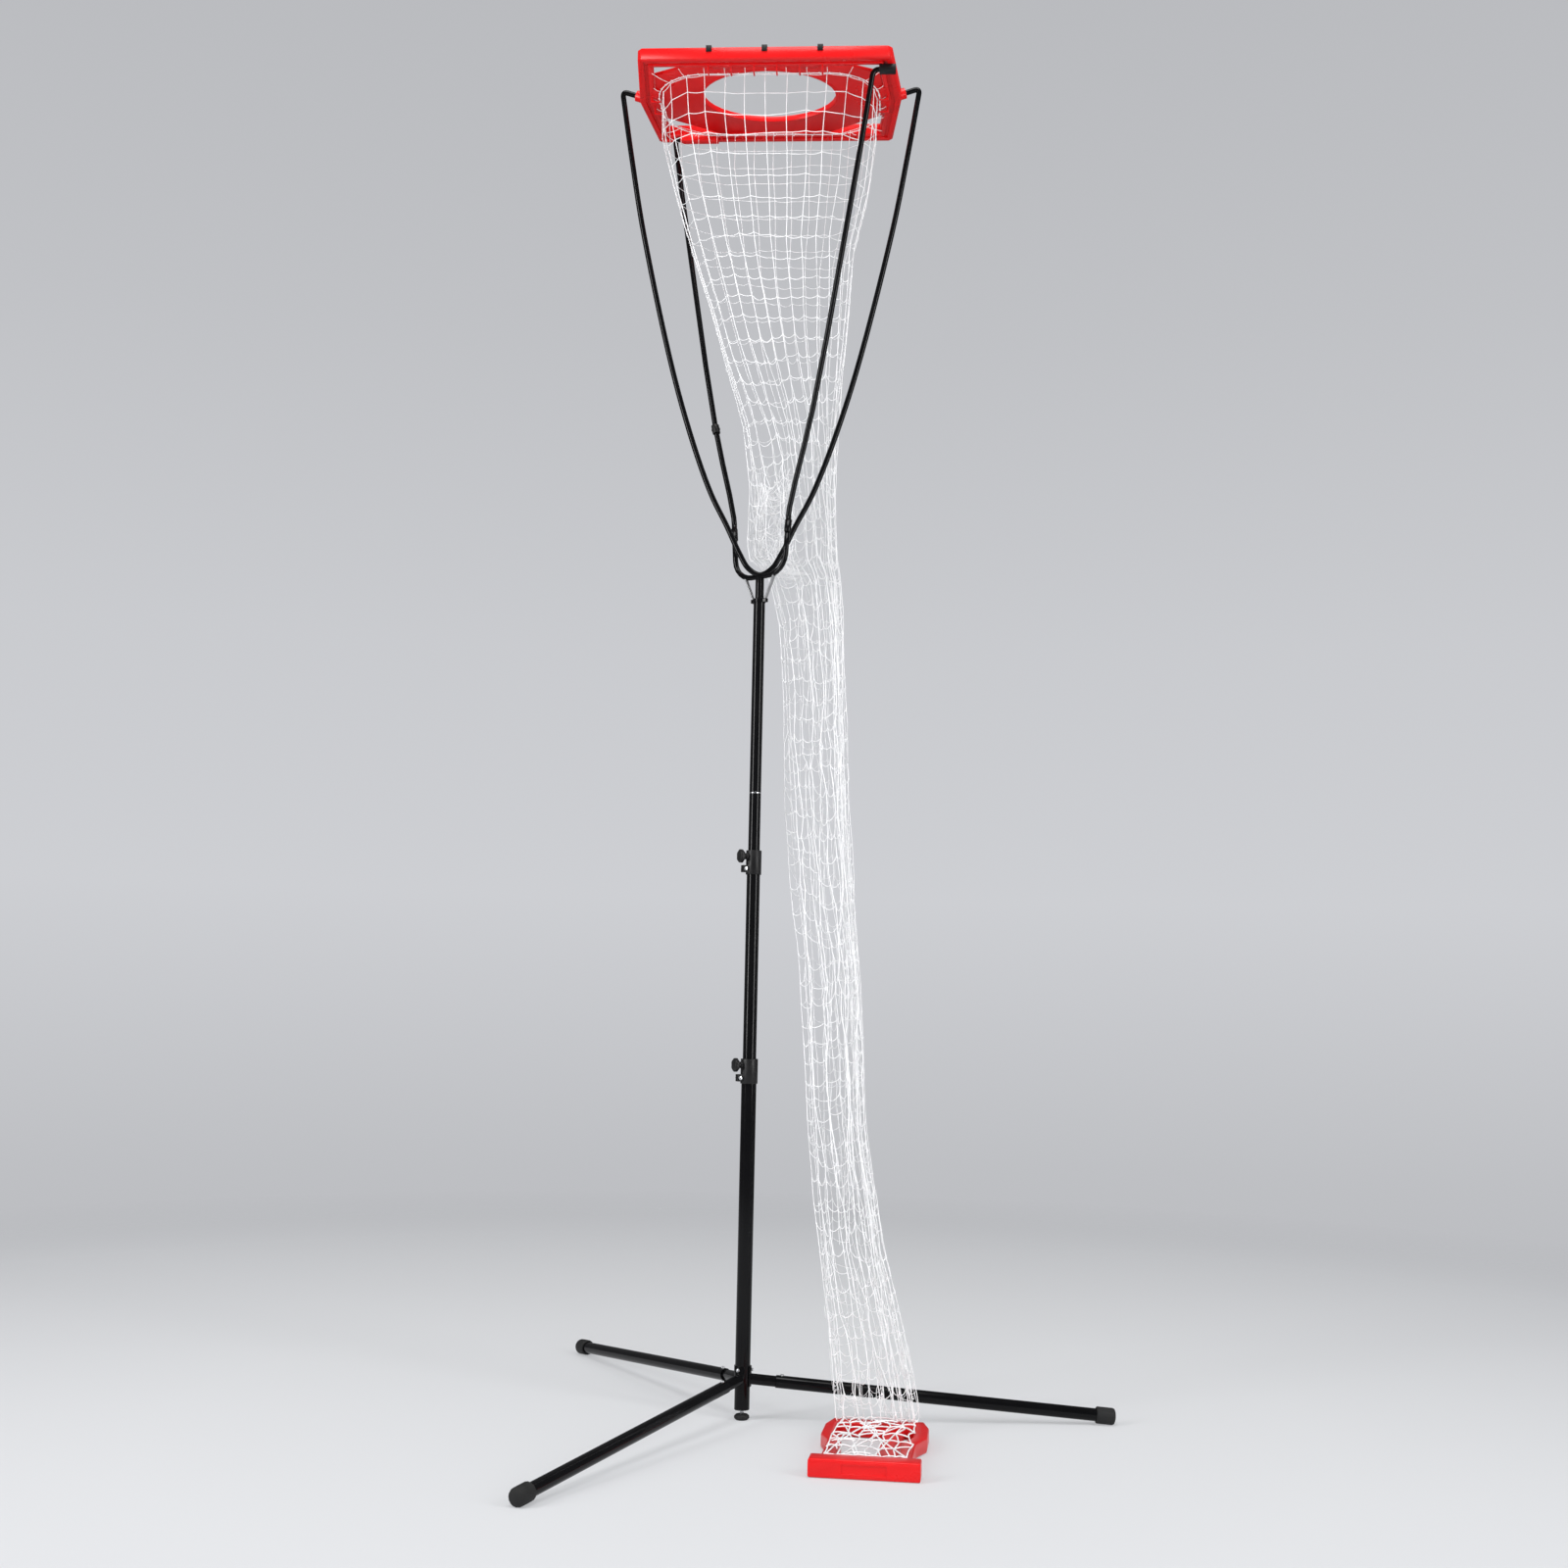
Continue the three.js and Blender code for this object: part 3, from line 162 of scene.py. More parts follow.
def bumpFrom(tree, height, strength, depth, shader):
    bump = tree.nodes.new("ShaderNodeBump")
    bump.inputs["Strength"].default_value = strength
    bump.inputs["Distance"].default_value = depth
    wire(tree, height, bump.inputs["Height"])
    wire(tree, bump.outputs["Normal"], shader.inputs["Normal"])


def newGroup(name, inputs, outputs):
    group = bpy.data.node_groups.new(name, "ShaderNodeTree")
    for title, default in inputs:
        socket = group.interface.new_socket(title, in_out="INPUT", socket_type="NodeSocketFloat")
        socket.default_value = default
    for title in outputs:
        group.interface.new_socket(title, in_out="OUTPUT", socket_type="NodeSocketFloat")
    return group, group.nodes.new("NodeGroupInput"), group.nodes.new("NodeGroupOutput")


def useGroup(tree, group, **values):
    node = tree.nodes.new("ShaderNodeGroup")
    node.node_tree = group
    for title, value in values.items():
        node.inputs[title].default_value = value
    return node


def newMaterial(name):
    material = bpy.data.materials.new(name)
    material.use_nodes = True
    return material, material.node_tree


# Fine surface grain of a coat or a moulding: a height, and a value that wanders in slow patches
def makeGrainGroup():
    group, ins, outs = newGroup("surfaceGrain", [("Fine", 900.0), ("Slow", 14.0)], ["Height", "Patches"])
    for title, output, detail in (("Fine", "Height", 2.0), ("Slow", "Patches", 4.0)):
        wire(group, noiseMap(group, ins.outputs[title], detail), outs.inputs[output])
    return group


# Dust that settles on what faces up, thinned by a noise
dustSet = {"faceFrom": 0.35, "specks": 60.0, "detail": 8.0, "roughness": 0.7, "speckFrom": 0.35,
           "speckTo": 0.75}


def makeDustGroup():
    group, ins, outs = newGroup("settledDust", [("Amount", 0.3)], ["Mask"])
    geometry = group.nodes.new("ShaderNodeNewGeometry")
    split = group.nodes.new("ShaderNodeSeparateXYZ")
    wire(group, geometry.outputs["Normal"], split.inputs["Vector"])
    facing = remap(group, split.outputs["Z"], dustSet["faceFrom"], 1.0)
    cloud = noiseMap(group, dustSet["specks"], dustSet["detail"], dustSet["roughness"])
    specks = remap(group, cloud, dustSet["speckFrom"], dustSet["speckTo"])
    mask = combine(group, "MULTIPLY", combine(group, "MULTIPLY", facing, specks), ins.outputs["Amount"])
    wire(group, mask, outs.inputs["Mask"])
    return group


grainGroup = makeGrainGroup()
dustGroup = makeDustGroup()

# Where most of a noise's values lie
patchRange = (0.3, 0.7)


# One finish: base colour in slow patches, dust on top, a rough value that wanders, and a grain bump
def makeFinish(name, look):
    material, tree = newMaterial(name)
    shader = tree.nodes["Principled BSDF"]
    grain = useGroup(tree, grainGroup, Fine=look["fine"], Slow=look["slow"])
    dust = useGroup(tree, dustGroup, Amount=look["dust"]).outputs["Mask"]
    base = colourMix(tree, remap(tree, grain.outputs["Patches"], *patchRange), look["colour"], look["second"])
    wire(tree, colourMix(tree, dust, base, look["dustColour"]), shader.inputs["Base Color"])
    rough = remap(tree, grain.outputs["Patches"], *patchRange, *look["rough"])
    wire(tree, combine(tree, "ADD", rough, dust), shader.inputs["Roughness"])
    shader.inputs["Metallic"].default_value = look.get("metal", 0)
    shader.inputs["Specular IOR Level"].default_value = look.get("specular", 0.5)
    bumpFrom(tree, grain.outputs["Height"], look["bump"], look["depth"], shader)
    return material


grey = (0.33, 0.33, 0.34)
finishes = {
    "black_paint": makeFinish("glossBlackPaint", {
        "colour": (0.002, 0.002, 0.0024), "second": (0.004, 0.004, 0.0045), "dustColour": (0.02, 0.02, 0.022),
        "rough": (0.09, 0.14), "fine": 420, "slow": 9, "dust": 0.04, "bump": 0.04, "depth": 0.0005,
        "specular": 0.17}),
    "black_plastic": makeFinish("satinBlackPlastic", {
        "colour": (0.005, 0.005, 0.0055), "second": (0.009, 0.009, 0.0095), "dustColour": (0.06, 0.06, 0.063),
        "rough": (0.36, 0.48), "fine": 1500, "slow": 30, "dust": 0.16, "bump": 0.22, "depth": 0.0005,
        "specular": 0.28}),
    "black_rubber": makeFinish("mattRubber", {
        "colour": (0.007, 0.007, 0.0075), "second": (0.013, 0.013, 0.013), "dustColour": (0.08, 0.08, 0.08),
        "rough": (0.6, 0.76), "fine": 1900, "slow": 45, "dust": 0.22, "bump": 0.35, "depth": 0.0006,
        "specular": 0.3}),
    "red_plastic": makeFinish("glossRedPlastic", {
        "colour": (0.65, 0.006, 0.007), "second": (0.59, 0.005, 0.006), "dustColour": (0.65, 0.035, 0.03),
        "rough": (0.24, 0.34), "fine": 260, "slow": 7, "dust": 0.06, "bump": 0.05, "depth": 0.0008,
        "specular": 0.3}),
    "grey_steel": makeFinish("paintedGreySteel", {
        "colour": (0.3, 0.303, 0.31), "second": (0.23, 0.233, 0.24), "dustColour": grey,
        "rough": (0.36, 0.5), "fine": 700, "slow": 40, "dust": 0.2, "bump": 0.12, "depth": 0.0005,
        "metal": 0.4}),
    "bright_steel": makeFinish("brightZincSteel", {
        "colour": (0.58, 0.585, 0.6), "second": (0.46, 0.47, 0.48), "dustColour": grey,
        "rough": (0.24, 0.4), "fine": 1300, "slow": 120, "dust": 0.15, "bump": 0.14, "depth": 0.0004,
        "metal": 1.0}),
}


# White twine: its shade comes from a fine grain, and its lay from a tight slanted bump
twineSet = {"colour": (0.84, 0.843, 0.855), "second": (0.72, 0.725, 0.74), "fine": 1800.0, "slow": 35.0,
            "rough": (0.55, 0.75), "lay": 190, "waver": 1.5, "stretch": (1, 1, 1.4), "layShare": 0.6,
            "grainShare": 0.4, "bump": 0.5, "depth": 0.0004}


def makeTwine():
    material, tree = newMaterial("whiteTwine")
    shader = tree.nodes["Principled BSDF"]
    grain = useGroup(tree, grainGroup, Fine=twineSet["fine"], Slow=twineSet["slow"])
    patches = remap(tree, grain.outputs["Patches"], *patchRange)
    wire(tree, colourMix(tree, patches, twineSet["colour"], twineSet["second"]), shader.inputs["Base Color"])
    rough = remap(tree, grain.outputs["Height"], *patchRange, *twineSet["rough"])
    wire(tree, rough, shader.inputs["Roughness"])
    mapping = tree.nodes.new("ShaderNodeMapping")
    mapping.inputs["Scale"].default_value = twineSet["stretch"]
    wire(tree, objectSpot(tree), mapping.inputs["Vector"])
    lay = tree.nodes.new("ShaderNodeTexWave")
    lay.inputs["Scale"].default_value = twineSet["lay"]
    lay.inputs["Distortion"].default_value = twineSet["waver"]
    wire(tree, mapping.outputs["Vector"], lay.inputs["Vector"])
    height = combine(tree, "ADD", combine(tree, "MULTIPLY", lay.outputs["Fac"], twineSet["layShare"]),
                     combine(tree, "MULTIPLY", grain.outputs["Height"], twineSet["grainShare"]))
    bumpFrom(tree, height, twineSet["bump"], twineSet["depth"], shader)
    return material


finishes["white_cord"] = makeTwine()
print("finishes made")


# Floor disc that fades out. Its colour is painted light: a painted pool of light, lighter near the middle and
# darker towards the edge, and camera and gloss rays see half of it as glow
floorSet = {"radius": 4.6, "sink": 0.0005, "fade": (3.0, 4.4), "tone": (1.2, 3.6), "glow": 0.5,
            "near": (0.675, 0.685, 0.705), "far": (0.6, 0.61, 0.635)}


def makeFloor():
    bm = bmesh.new()
    bmesh.ops.create_circle(bm, cap_ends=True, cap_tris=False, segments=96, radius=floorSet["radius"])
    bmesh.ops.translate(bm, verts=bm.verts, vec=(0, 0, -floorSet["sink"]))
    mesh = bpy.data.meshes.new("studio_floor")
    bm.to_mesh(mesh)
    bm.free()
    floor = bpy.data.objects.new("studio_floor", mesh)
    bpy.context.scene.collection.objects.link(floor)
    material, tree = newMaterial("studioFloor")
    tree.nodes.remove(tree.nodes["Principled BSDF"])
    distance = tree.nodes.new("ShaderNodeVectorMath")
    distance.operation = "LENGTH"
    wire(tree, objectSpot(tree), distance.inputs[0])
    reach = distance.outputs["Value"]
    # Painted pool of light: the floor's colour darkens from near to far with distance from the middle
    tone = colourMix(tree, remap(tree, reach, *floorSet["tone"]), floorSet["near"], floorSet["far"])
    diffuse = tree.nodes.new("ShaderNodeBsdfDiffuse")
    wire(tree, tone, diffuse.inputs["Color"])
    glow = tree.nodes.new("ShaderNodeEmission")
    wire(tree, tone, glow.inputs["Color"])
    seen = tree.nodes.new("ShaderNodeLightPath")
    shown = combine(tree, "ADD", seen.outputs["Is Camera Ray"], seen.outputs["Is Glossy Ray"])
    glowShare = combine(tree, "MULTIPLY", shown, floorSet["glow"])
    body = shaderMix(tree, glowShare, diffuse.outputs[0], glow.outputs[0])
    clear = tree.nodes.new("ShaderNodeBsdfTransparent")
    edge = shaderMix(tree, remap(tree, reach, *floorSet["fade"]), body, clear.outputs[0])
    wire(tree, edge, tree.nodes["Material Output"].inputs["Surface"])
    floor.data.materials.append(material)


# World: a white light, and a pale wall that is seen behind the floor and dimly in gloss. The wall's ramp is
# painted light: lighter in a band just above the horizon, darker towards the top and below it
worldSet = {"light": 0.36, "gloss": 0.3, "level": (-0.2, 0.5), "tint": (1, 1.015, 1.06),
            "stops": ((0.0, 0.47), (0.16, 0.52), (0.36, 0.615), (0.55, 0.59), (0.78, 0.53), (1.0, 0.49))}


def makeWorld():
    world = bpy.data.worlds.new("studioWorld")
    bpy.context.scene.world = world
    world.use_nodes = True
    tree = world.node_tree
    light = tree.nodes["Background"]
    light.inputs["Color"].default_value = (1, 1, 1, 1)
    light.inputs["Strength"].default_value = worldSet["light"]
    split = tree.nodes.new("ShaderNodeSeparateXYZ")
    wire(tree, tree.nodes.new("ShaderNodeTexCoord").outputs["Generated"], split.inputs["Vector"])
    # Painted light on the wall: its brightness rises to a band just above the horizon and falls off above and
    # below
    ramp = tree.nodes.new("ShaderNodeValToRGB")
    while len(ramp.color_ramp.elements) < len(worldSet["stops"]):
        ramp.color_ramp.elements.new(0.5)
    for element, (level, tone) in zip(ramp.color_ramp.elements, worldSet["stops"]):
        element.position = level
        element.color = (*(tone * tint for tint in worldSet["tint"]), 1)
    wire(tree, remap(tree, split.outputs["Z"], *worldSet["level"]), ramp.inputs["Fac"])
    wall = tree.nodes.new("ShaderNodeBackground")
    wire(tree, ramp.outputs["Color"], wall.inputs["Color"])
    seen = tree.nodes.new("ShaderNodeLightPath")
    strength = remap(tree, seen.outputs["Is Glossy Ray"], 0.0, 1.0, 1.0, worldSet["gloss"])
    wire(tree, strength, wall.inputs["Strength"])
    shown = combine(tree, "ADD", seen.outputs["Is Camera Ray"], seen.outputs["Is Transmission Ray"])
    shown = combine(tree, "ADD", shown, seen.outputs["Is Glossy Ray"])
    chosen = shaderMix(tree, shown, light.outputs[0], wall.outputs[0])
    wire(tree, chosen, tree.nodes["World Output"].inputs["Surface"])


# Lamps: only the low one is kept out of the gloss
lampSet = {
    "left_softbox": {"place": (-3.4, -2.6, 2.3), "aim": (0, 0, 1.5), "size": (1.0, 3.4), "power": 150},
    "right_softbox": {"place": (3.6, -2.2, 2.2), "aim": (0, 0, 1.5), "size": (0.8, 3.4), "power": 110},
    "low_softbox": {"place": (0.5, -3.4, 0.6), "aim": (0, 0, 2.6), "size": (2.4, 0.6), "power": 34,
                    "glossy": False},
    "top_softbox": {"place": (0.2, -1.4, 5.2), "aim": (0.1, 0, 1.2), "size": (2.6, 2.2), "power": 110},
}


def makeLamps():
    for name, lamp in lampSet.items():
        data = bpy.data.lights.new(name, "AREA")
        data.shape = "RECTANGLE"
        data.size, data.size_y = lamp["size"]
        data.energy = lamp["power"]
        light = bpy.data.objects.new(name, data)
        aim = (Vector(lamp["aim"]) - Vector(lamp["place"])).to_track_quat("-Z", "Y")
        light.matrix_world = Matrix.Translation(lamp["place"]) @ aim.to_matrix().to_4x4()
        light.visible_camera = False
        light.visible_glossy = lamp.get("glossy", True)
        bpy.context.scene.collection.objects.link(light)


makeFloor()
makeWorld()
makeLamps()
bpy.context.scene.view_settings.view_transform = "Standard"
print("stage set")


# Pieces: a mesh gets its finish, its slot, the CAD nodes that it replaces and the body that it rides on
def placeMesh(name, mesh, finish, nodes, softAngle=35, body=None):
    mesh.materials.clear()
    mesh.materials.append(finishes[finish])
    for face in mesh.polygons:
        face.material_index = 0
        face.use_smooth = True
    mesh.set_sharp_from_angle(angle=radians(softAngle))
    piece = bpy.data.objects.new(name, mesh)
    bpy.context.scene.collection.objects.link(piece)
    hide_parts(*nodes)
    if body != "blended":
        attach(piece, body or bodyOf[nodes[0]])
    return piece


def place(name, bm, finish, nodes, softAngle=35):
    mesh = bpy.data.meshes.new(name)
    bm.to_mesh(mesh)
    bm.free()
    placeMesh(name, mesh, finish, nodes, softAngle)


# A CAD node's form, with its triangles merged and its sharp edges broken by a small round
refineSet = {"merge": 0.00002, "flat": 0.7, "segments": 2, "cornersKept": 4}


def refine(nodeName, finish, edge=0.0, softAngle=35, sharp=38):
    bm = bmesh.new()
    bm.from_mesh(cadNodes[nodeName].data)
    bmesh.ops.remove_doubles(bm, verts=bm.verts, dist=refineSet["merge"])
    bmesh.ops.dissolve_limit(bm, angle_limit=radians(refineSet["flat"]), verts=bm.verts, edges=bm.edges)
    if edge:
        edges = [line for line in bm.edges if line.is_manifold and line.calc_face_angle(0) > radians(sharp)]
        bmesh.ops.bevel(bm, geom=edges, offset=edge, offset_type="OFFSET", affect="EDGES",
                        segments=refineSet["segments"], profile=0.5, material=-1, clamp_overlap=True)
    manySided = [face for face in bm.faces if len(face.verts) > refineSet["cornersKept"]]
    bmesh.ops.triangulate(bm, faces=manySided)
    place(nodeName + "_skin", bm, finish, [nodeName], softAngle)


# Spun pieces: a profile of (radius, height), stood on an axis
def spunForm(profile, steps=48):
    bm = bmesh.new()
    corners = [bm.verts.new((radius, 0, height)) for radius, height in profile]
    lines = [bm.edges.new((a, b)) for a, b in zip(corners, corners[1:])]
    bmesh.ops.spin(bm, geom=corners + lines, cent=(0, 0, 0), axis=(0, 0, 1), angle=2 * pi, steps=steps,
                   use_merge=True)
    bmesh.ops.remove_doubles(bm, verts=bm.verts, dist=0.00001)
    bmesh.ops.recalc_face_normals(bm, faces=bm.faces)
    return bm


def closedProfile(outer, inner, low, high, chamfer=0.0003):
    return [(inner, low), (outer - chamfer, low), (outer, low + chamfer), (outer, high - chamfer),
            (outer - chamfer, high), (inner, high), (inner, low)]


# Round tubes along paths, as one mesh: weights scale whole paths, and thin scales spot by spot
def tubeMesh(name, paths, radius, rings, weights=None, thin=None):
    curve = bpy.data.curves.new(name, "CURVE")
    curve.dimensions = "3D"
    curve.bevel_depth = radius
    curve.bevel_resolution = rings
    curve.use_fill_caps = True
    for index, points in enumerate(paths):
        weight = weights[index] if weights else 1
        spline = curve.splines.new("POLY")
        spline.points.add(len(points) - 1)
        for spot, point in zip(spline.points, points):
            spot.co = (*point, 1)
            spot.radius = weight * (thin(point) if thin else 1)
    holder = bpy.data.objects.new(name + "_path", curve)
    bpy.context.scene.collection.objects.link(holder)
    mesh = bpy.data.meshes.new_from_object(holder.evaluated_get(bpy.context.evaluated_depsgraph_get()))
    bpy.data.objects.remove(holder)
    bpy.data.curves.remove(curve)
    return mesh


# A smooth path through points that are unevenly spaced
def centripetal(points, steps):
    ends = [points[0] * 2 - points[1], *points, points[-1] * 2 - points[-2]]
    path = []
    for a, b, c, d in zip(ends, ends[1:], ends[2:], ends[3:]):
        first, second, third = sqrt((b - a).length), sqrt((c - b).length), sqrt((d - c).length)
        start = ((b - a) / first - (c - a) / (first + second) + (c - b) / second) * second
        finish = ((c - b) / second - (d - b) / (second + third) + (d - c) / third) * second
        for step in range(steps):
            t = step / steps
            cubic = 2 * (b - c) + start + finish
            square = 3 * (c - b) - 2 * start - finish
            path.append(b + start * t + square * t * t + cubic * t ** 3)
    return path + [points[-1]]


def bend(first, corner, last, steps=8):
    shares = [step / steps for step in range(steps + 1)]
    return [first * (1 - share) ** 2 + corner * 2 * share * (1 - share) + last * share * share
            for share in shares]


# Poles: four tubes with broken rims
poleSet = {"lower": 0.016, "middle": 0.0143, "upper": 0.0126, "wall": 0.0012}


def makeTubes():
    for name in ("lower_pole", "middle_pole", "upper_pole_lower_section", "upper_pole_upper_section"):
        low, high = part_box(name)
        radius = poleSet[name.split("_")[0]]
        inner = radius - poleSet["wall"]
        bm = spunForm(closedProfile(radius, inner, low[2], high[2]))
        place(name + "_skin", bm, "black_paint", [name])


makeTubes()

# Legs, spread from the hub, so tilted that the caps press flat soles on the floor
legSet = {"angles": {"right": 5, "rear": 125, "front": 245}, "hub": 0.084, "reach": 0.785, "near": 0.07,
          "radius": 0.013, "wall": 0.0014, "endWall": 0.0053, "capRadius": 0.0175, "press": 0.001,
          "soleBack": 0.006}


def makeLegs():
    drop = legSet["hub"] + legSet["press"] - legSet["capRadius"]
    tilt = asin(drop / (legSet["reach"] - legSet["soleBack"]))
    far = legSet["reach"] - legSet["endWall"]
    lean = Matrix.Translation((0, 0, legSet["hub"])) @ Matrix.Rotation(pi / 2 + tilt, 4, "Y")
    for name, angle in legSet["angles"].items():
        bm = spunForm(closedProfile(legSet["radius"], legSet["radius"] - legSet["wall"], legSet["near"], far))
        bmesh.ops.transform(bm, verts=bm.verts, matrix=Matrix.Rotation(radians(angle), 4, "Z") @ lean)
        place(f"leg_tube_{name}_skin", bm, "black_paint", [f"leg_tube_{name}"])
        refine(f"leg_stub_{name}", "black_paint", 0.0003)
        refine(f"leg_cap_{name}", "black_rubber", 0.0008, sharp=30)
        refine(f"leg_button_{name}", "bright_steel", 0.0002)
        refine(f"hub_bolt_{name}", "bright_steel", 0.0002)


makeLegs()

# Fork: the side yoke is a bent rod, from a boss on the frame down round the crotch and up to the other boss
forkSet = {"crotch": 1.797, "radius": 0.006, "halfWidth": 0.338, "mid": 0.297, "boss": 2.90596, "tip": 18,
           "bend": 0.014, "gap": 0.0047, "steps": 8, "rings": 4,
           "shares": [(0.926, 0.862), (0.825, 0.694), (0.568, 0.37), (0.347, 0.172),
                      (0.222, 0.096), (0.135, 0.041), (0.075, 0.012)]}


def makeSideYoke():
    tip = radians(forkSet["tip"])
    direction = Vector((cos(tip), 0, sin(tip)))
    boss = Vector((forkSet["mid"], 0, forkSet["boss"]))
    corner = boss + direction * (forkSet["halfWidth"] - forkSet["mid"]) / direction.x
    prong = [Vector((across * forkSet["halfWidth"], 0, mix(forkSet["crotch"], corner.z, up)))
             for across, up in forkSet["shares"]]
    bendStart = corner + (prong[0] - corner).normalized() * forkSet["bend"]
    bendEnd = corner + (boss - corner).normalized() * forkSet["bend"]
    bottom = Vector((0, 0, forkSet["crotch"]))
    flip = Vector((-1, 1, 1))
    right = [bendStart, *prong]
    sweep = centripetal(right + [bottom] + [point * flip for point in reversed(right)], forkSet["steps"])
    start = [boss - direction * forkSet["gap"], *bend(bendEnd, corner, bendStart)[:-1]]
    path = start + sweep + [point * flip for point in reversed(start)]
    mesh = tubeMesh("side_yoke", [path], forkSet["radius"], forkSet["rings"])
    placeMesh("side_yoke_skin", mesh, "black_paint", ["side_yoke"], 50)


makeSideYoke()
refine("cross_yoke_base", "black_paint", 0, 60)
for nodeName in ("cross_yoke_prong_near", "cross_yoke_prong_far"):
    refine(nodeName, "black_paint", 0, 50)
for nodeName in ("fork_collar", "fork_stem"):
    refine(nodeName, "black_paint", 0.0004)
refine("pole_joint_spigot", "bright_steel", 0.0003)
for nodeName in ("gusset_near", "gusset_far"):
    refine(nodeName, "grey_steel", 0.0004)
refine("prong_clip", "black_plastic", 0.0004)

# Clamps, foot and plug
for side in ("lower", "upper"):
    refine(f"{side}_clamp_collar", "black_plastic", 0.0005)
    refine(f"{side}_clamp_bolt", "bright_steel", 0.0003)
    refine(f"{side}_clamp_knob", "black_plastic", 0.0005, 40, sharp=45)
    refine(f"{side}_clamp_stud", "bright_steel", 0.0002)
refine("foot_pad", "black_rubber", 0.0004)
refine("foot_stud", "bright_steel", 0.0002)
refine("pole_end_plug", "black_plastic", 0.0004)

# Frame, target and tray mouldings
for nodeName in ("frame_near_bar", "frame_far_bar", "frame_right_side", "frame_left_side"):
    refine(nodeName, "red_plastic", 0.0008, 50, sharp=60)
refine("target_panel", "red_plastic", 0.0006, 50, sharp=60)
refine("tray_frame", "red_plastic", 0.0008, 50, sharp=60)
refine("far_prong_socket", "red_plastic", 0.0005)
refine("near_prong_socket", "black_plastic", 0.0005)
for side in ("left", "middle", "right"):
    refine(f"panel_clip_{side}", "black_plastic", 0.0005)
print("hard pieces made")

# Net: it hangs from the rim as a funnel, narrows to a chute and ends in the tray
netSet = {"top": 2.885, "bottom": 0.0343, "halfWidth": 0.245, "halfDepth": 0.14, "corner": 0.11,
          "cornerShare": 0.8, "funnelEnd": 1.8, "split": 1.05, "foot": 0.36, "columns": 30,
          "rows": (25, 17, 16, 8), "cell": 0.044, "twine": 0.00078, "rings": 1, "knot": 0.0019,
          "knotSquat": 0.8, "margin": 0.001, "inset": 0.002, "deepest": 0.6, "bunch": (0.5, 0.3)}

# Sections from the mouth down, as shares: height, left and right edge, middle and half depth
netSections = [
    (1, -1, 1, 0, 1), (0.967, -0.99, 0.99, 0, 0.94), (0.921, -0.85, 0.92, 0.01, 0.84),
    (0.876, -0.69, 0.8, 0.04, 0.71), (0.83, -0.51, 0.77, 0.09, 0.61), (0.788, -0.37, 0.73, 0.16, 0.51),
    (0.742, -0.21, 0.69, 0.39, 0.39), (0.69, -0.14, 0.67, 0.47, 0.33), (0.637, -0.15, 0.7, 0.46, 0.32),
    (0.62, 0.06, 0.73, 0.48, 0.31), (0.584, 0.155, 0.76, 0.5, 0.3), (0.497, 0.2, 0.81, 0.49, 0.3),
    (0.437, 0.245, 0.845, 0.41, 0.3), (0.383, 0.3, 0.9, 0.33, 0.3), (0.323, 0.4, 0.955, 0.19, 0.3),
    (0.2, 0.515, 1.045, -0.11, 0.285), (0.114, 0.62, 1.21, -0.31, 0.26), (0.048, 0.73, 1.41, -0.53, 0.22),
    (0, 0.8, 1.53, -0.74, 0.18)]


def netSection(height):
    share = (height - netSet["bottom"]) / (netSet["top"] - netSet["bottom"])
    share = min(max(share, 0), 1)
    below = max(next(index for index, row in enumerate(netSections) if row[0] <= share), 1)
    above, under = netSections[below - 1], netSections[below]
    way = (share - under[0]) / (above[0] - under[0])
    left, right, middle, depth = [mix(low, high, way) for low, high in zip(under[1:], above[1:])]
    halfDepth = depth * netSet["halfDepth"]
    return {"x": (left + right) / 2 * netSet["halfWidth"], "y": middle * netSet["halfDepth"],
            "halfWidth": (right - left) / 2 * netSet["halfWidth"], "halfDepth": halfDepth,
            "radius": min(netSet["corner"], netSet["cornerShare"] * halfDepth)}


# A spot round the net at a height: the share runs from the middle of the left side, by the front
def ringSpot(height, share, inset=0.0):
    section = netSection(height)
    radius = section["radius"]
    wide = 2 * (section["halfWidth"] - radius)
    deep = 2 * (section["halfDepth"] - radius)
    arc = radius * pi / 2
    runs = [("line", deep / 2), ("arc", arc), ("line", wide), ("arc", arc), ("line", deep), ("arc", arc),
            ("line", wide), ("arc", arc), ("line", deep / 2)]
    left = (share % 1) * (2 * wide + 2 * deep + 4 * arc)
    spot = Vector((-section["halfWidth"], 0))
    heading = Vector((0, -1))
    for kind, length in runs:
        part = min(left, length)
        outward = Vector((heading.y, -heading.x))
        if kind == "line":
            spot = spot + heading * part
        else:
            centre = spot - outward * radius
            turned = Matrix.Rotation(part / radius, 2)
            spot = centre + turned @ (spot - centre)
            heading = turned @ heading
        left -= part
        if left <= 0:
            break
    outward = Vector((heading.y, -heading.x))
    spot = spot - outward * inset
    return Vector((spot.x + section["x"], spot.y + section["y"], height)), Vector((outward.x, outward.y, 0))


# Noise about 0: each thing that strays has its own seeds
def ripple(*seed):
    return noise.noise(Vector(seed))


# How loose the net hangs at a height, for each thing that strays: 1 below the first height, 0 above the second
looseSet = {"across": (1.85, 2.4), "pleat": (1.9, 2.45), "row": (1.9, 2.5), "sag": (1.95, 2.75)}

# How far each thing strays where the net hangs taut, and where it hangs loose
straySet = {"across": (0.0045, 0.018), "pleat": (0.001, 0.011), "crumple": (0.001, 0.012),
            "row": (0.009, 0.03), "aside": 0.015}


def looseness(kind, height):
    return 1 - smoothStep(*looseSet[kind], height)


# The girth of a section: the four rounded corners cut 1.72 radii off a box's
def perimeter(height):
    section = netSection(height)
    return 4 * (section["halfWidth"] + section["halfDepth"]) - 1.72 * section["radius"]


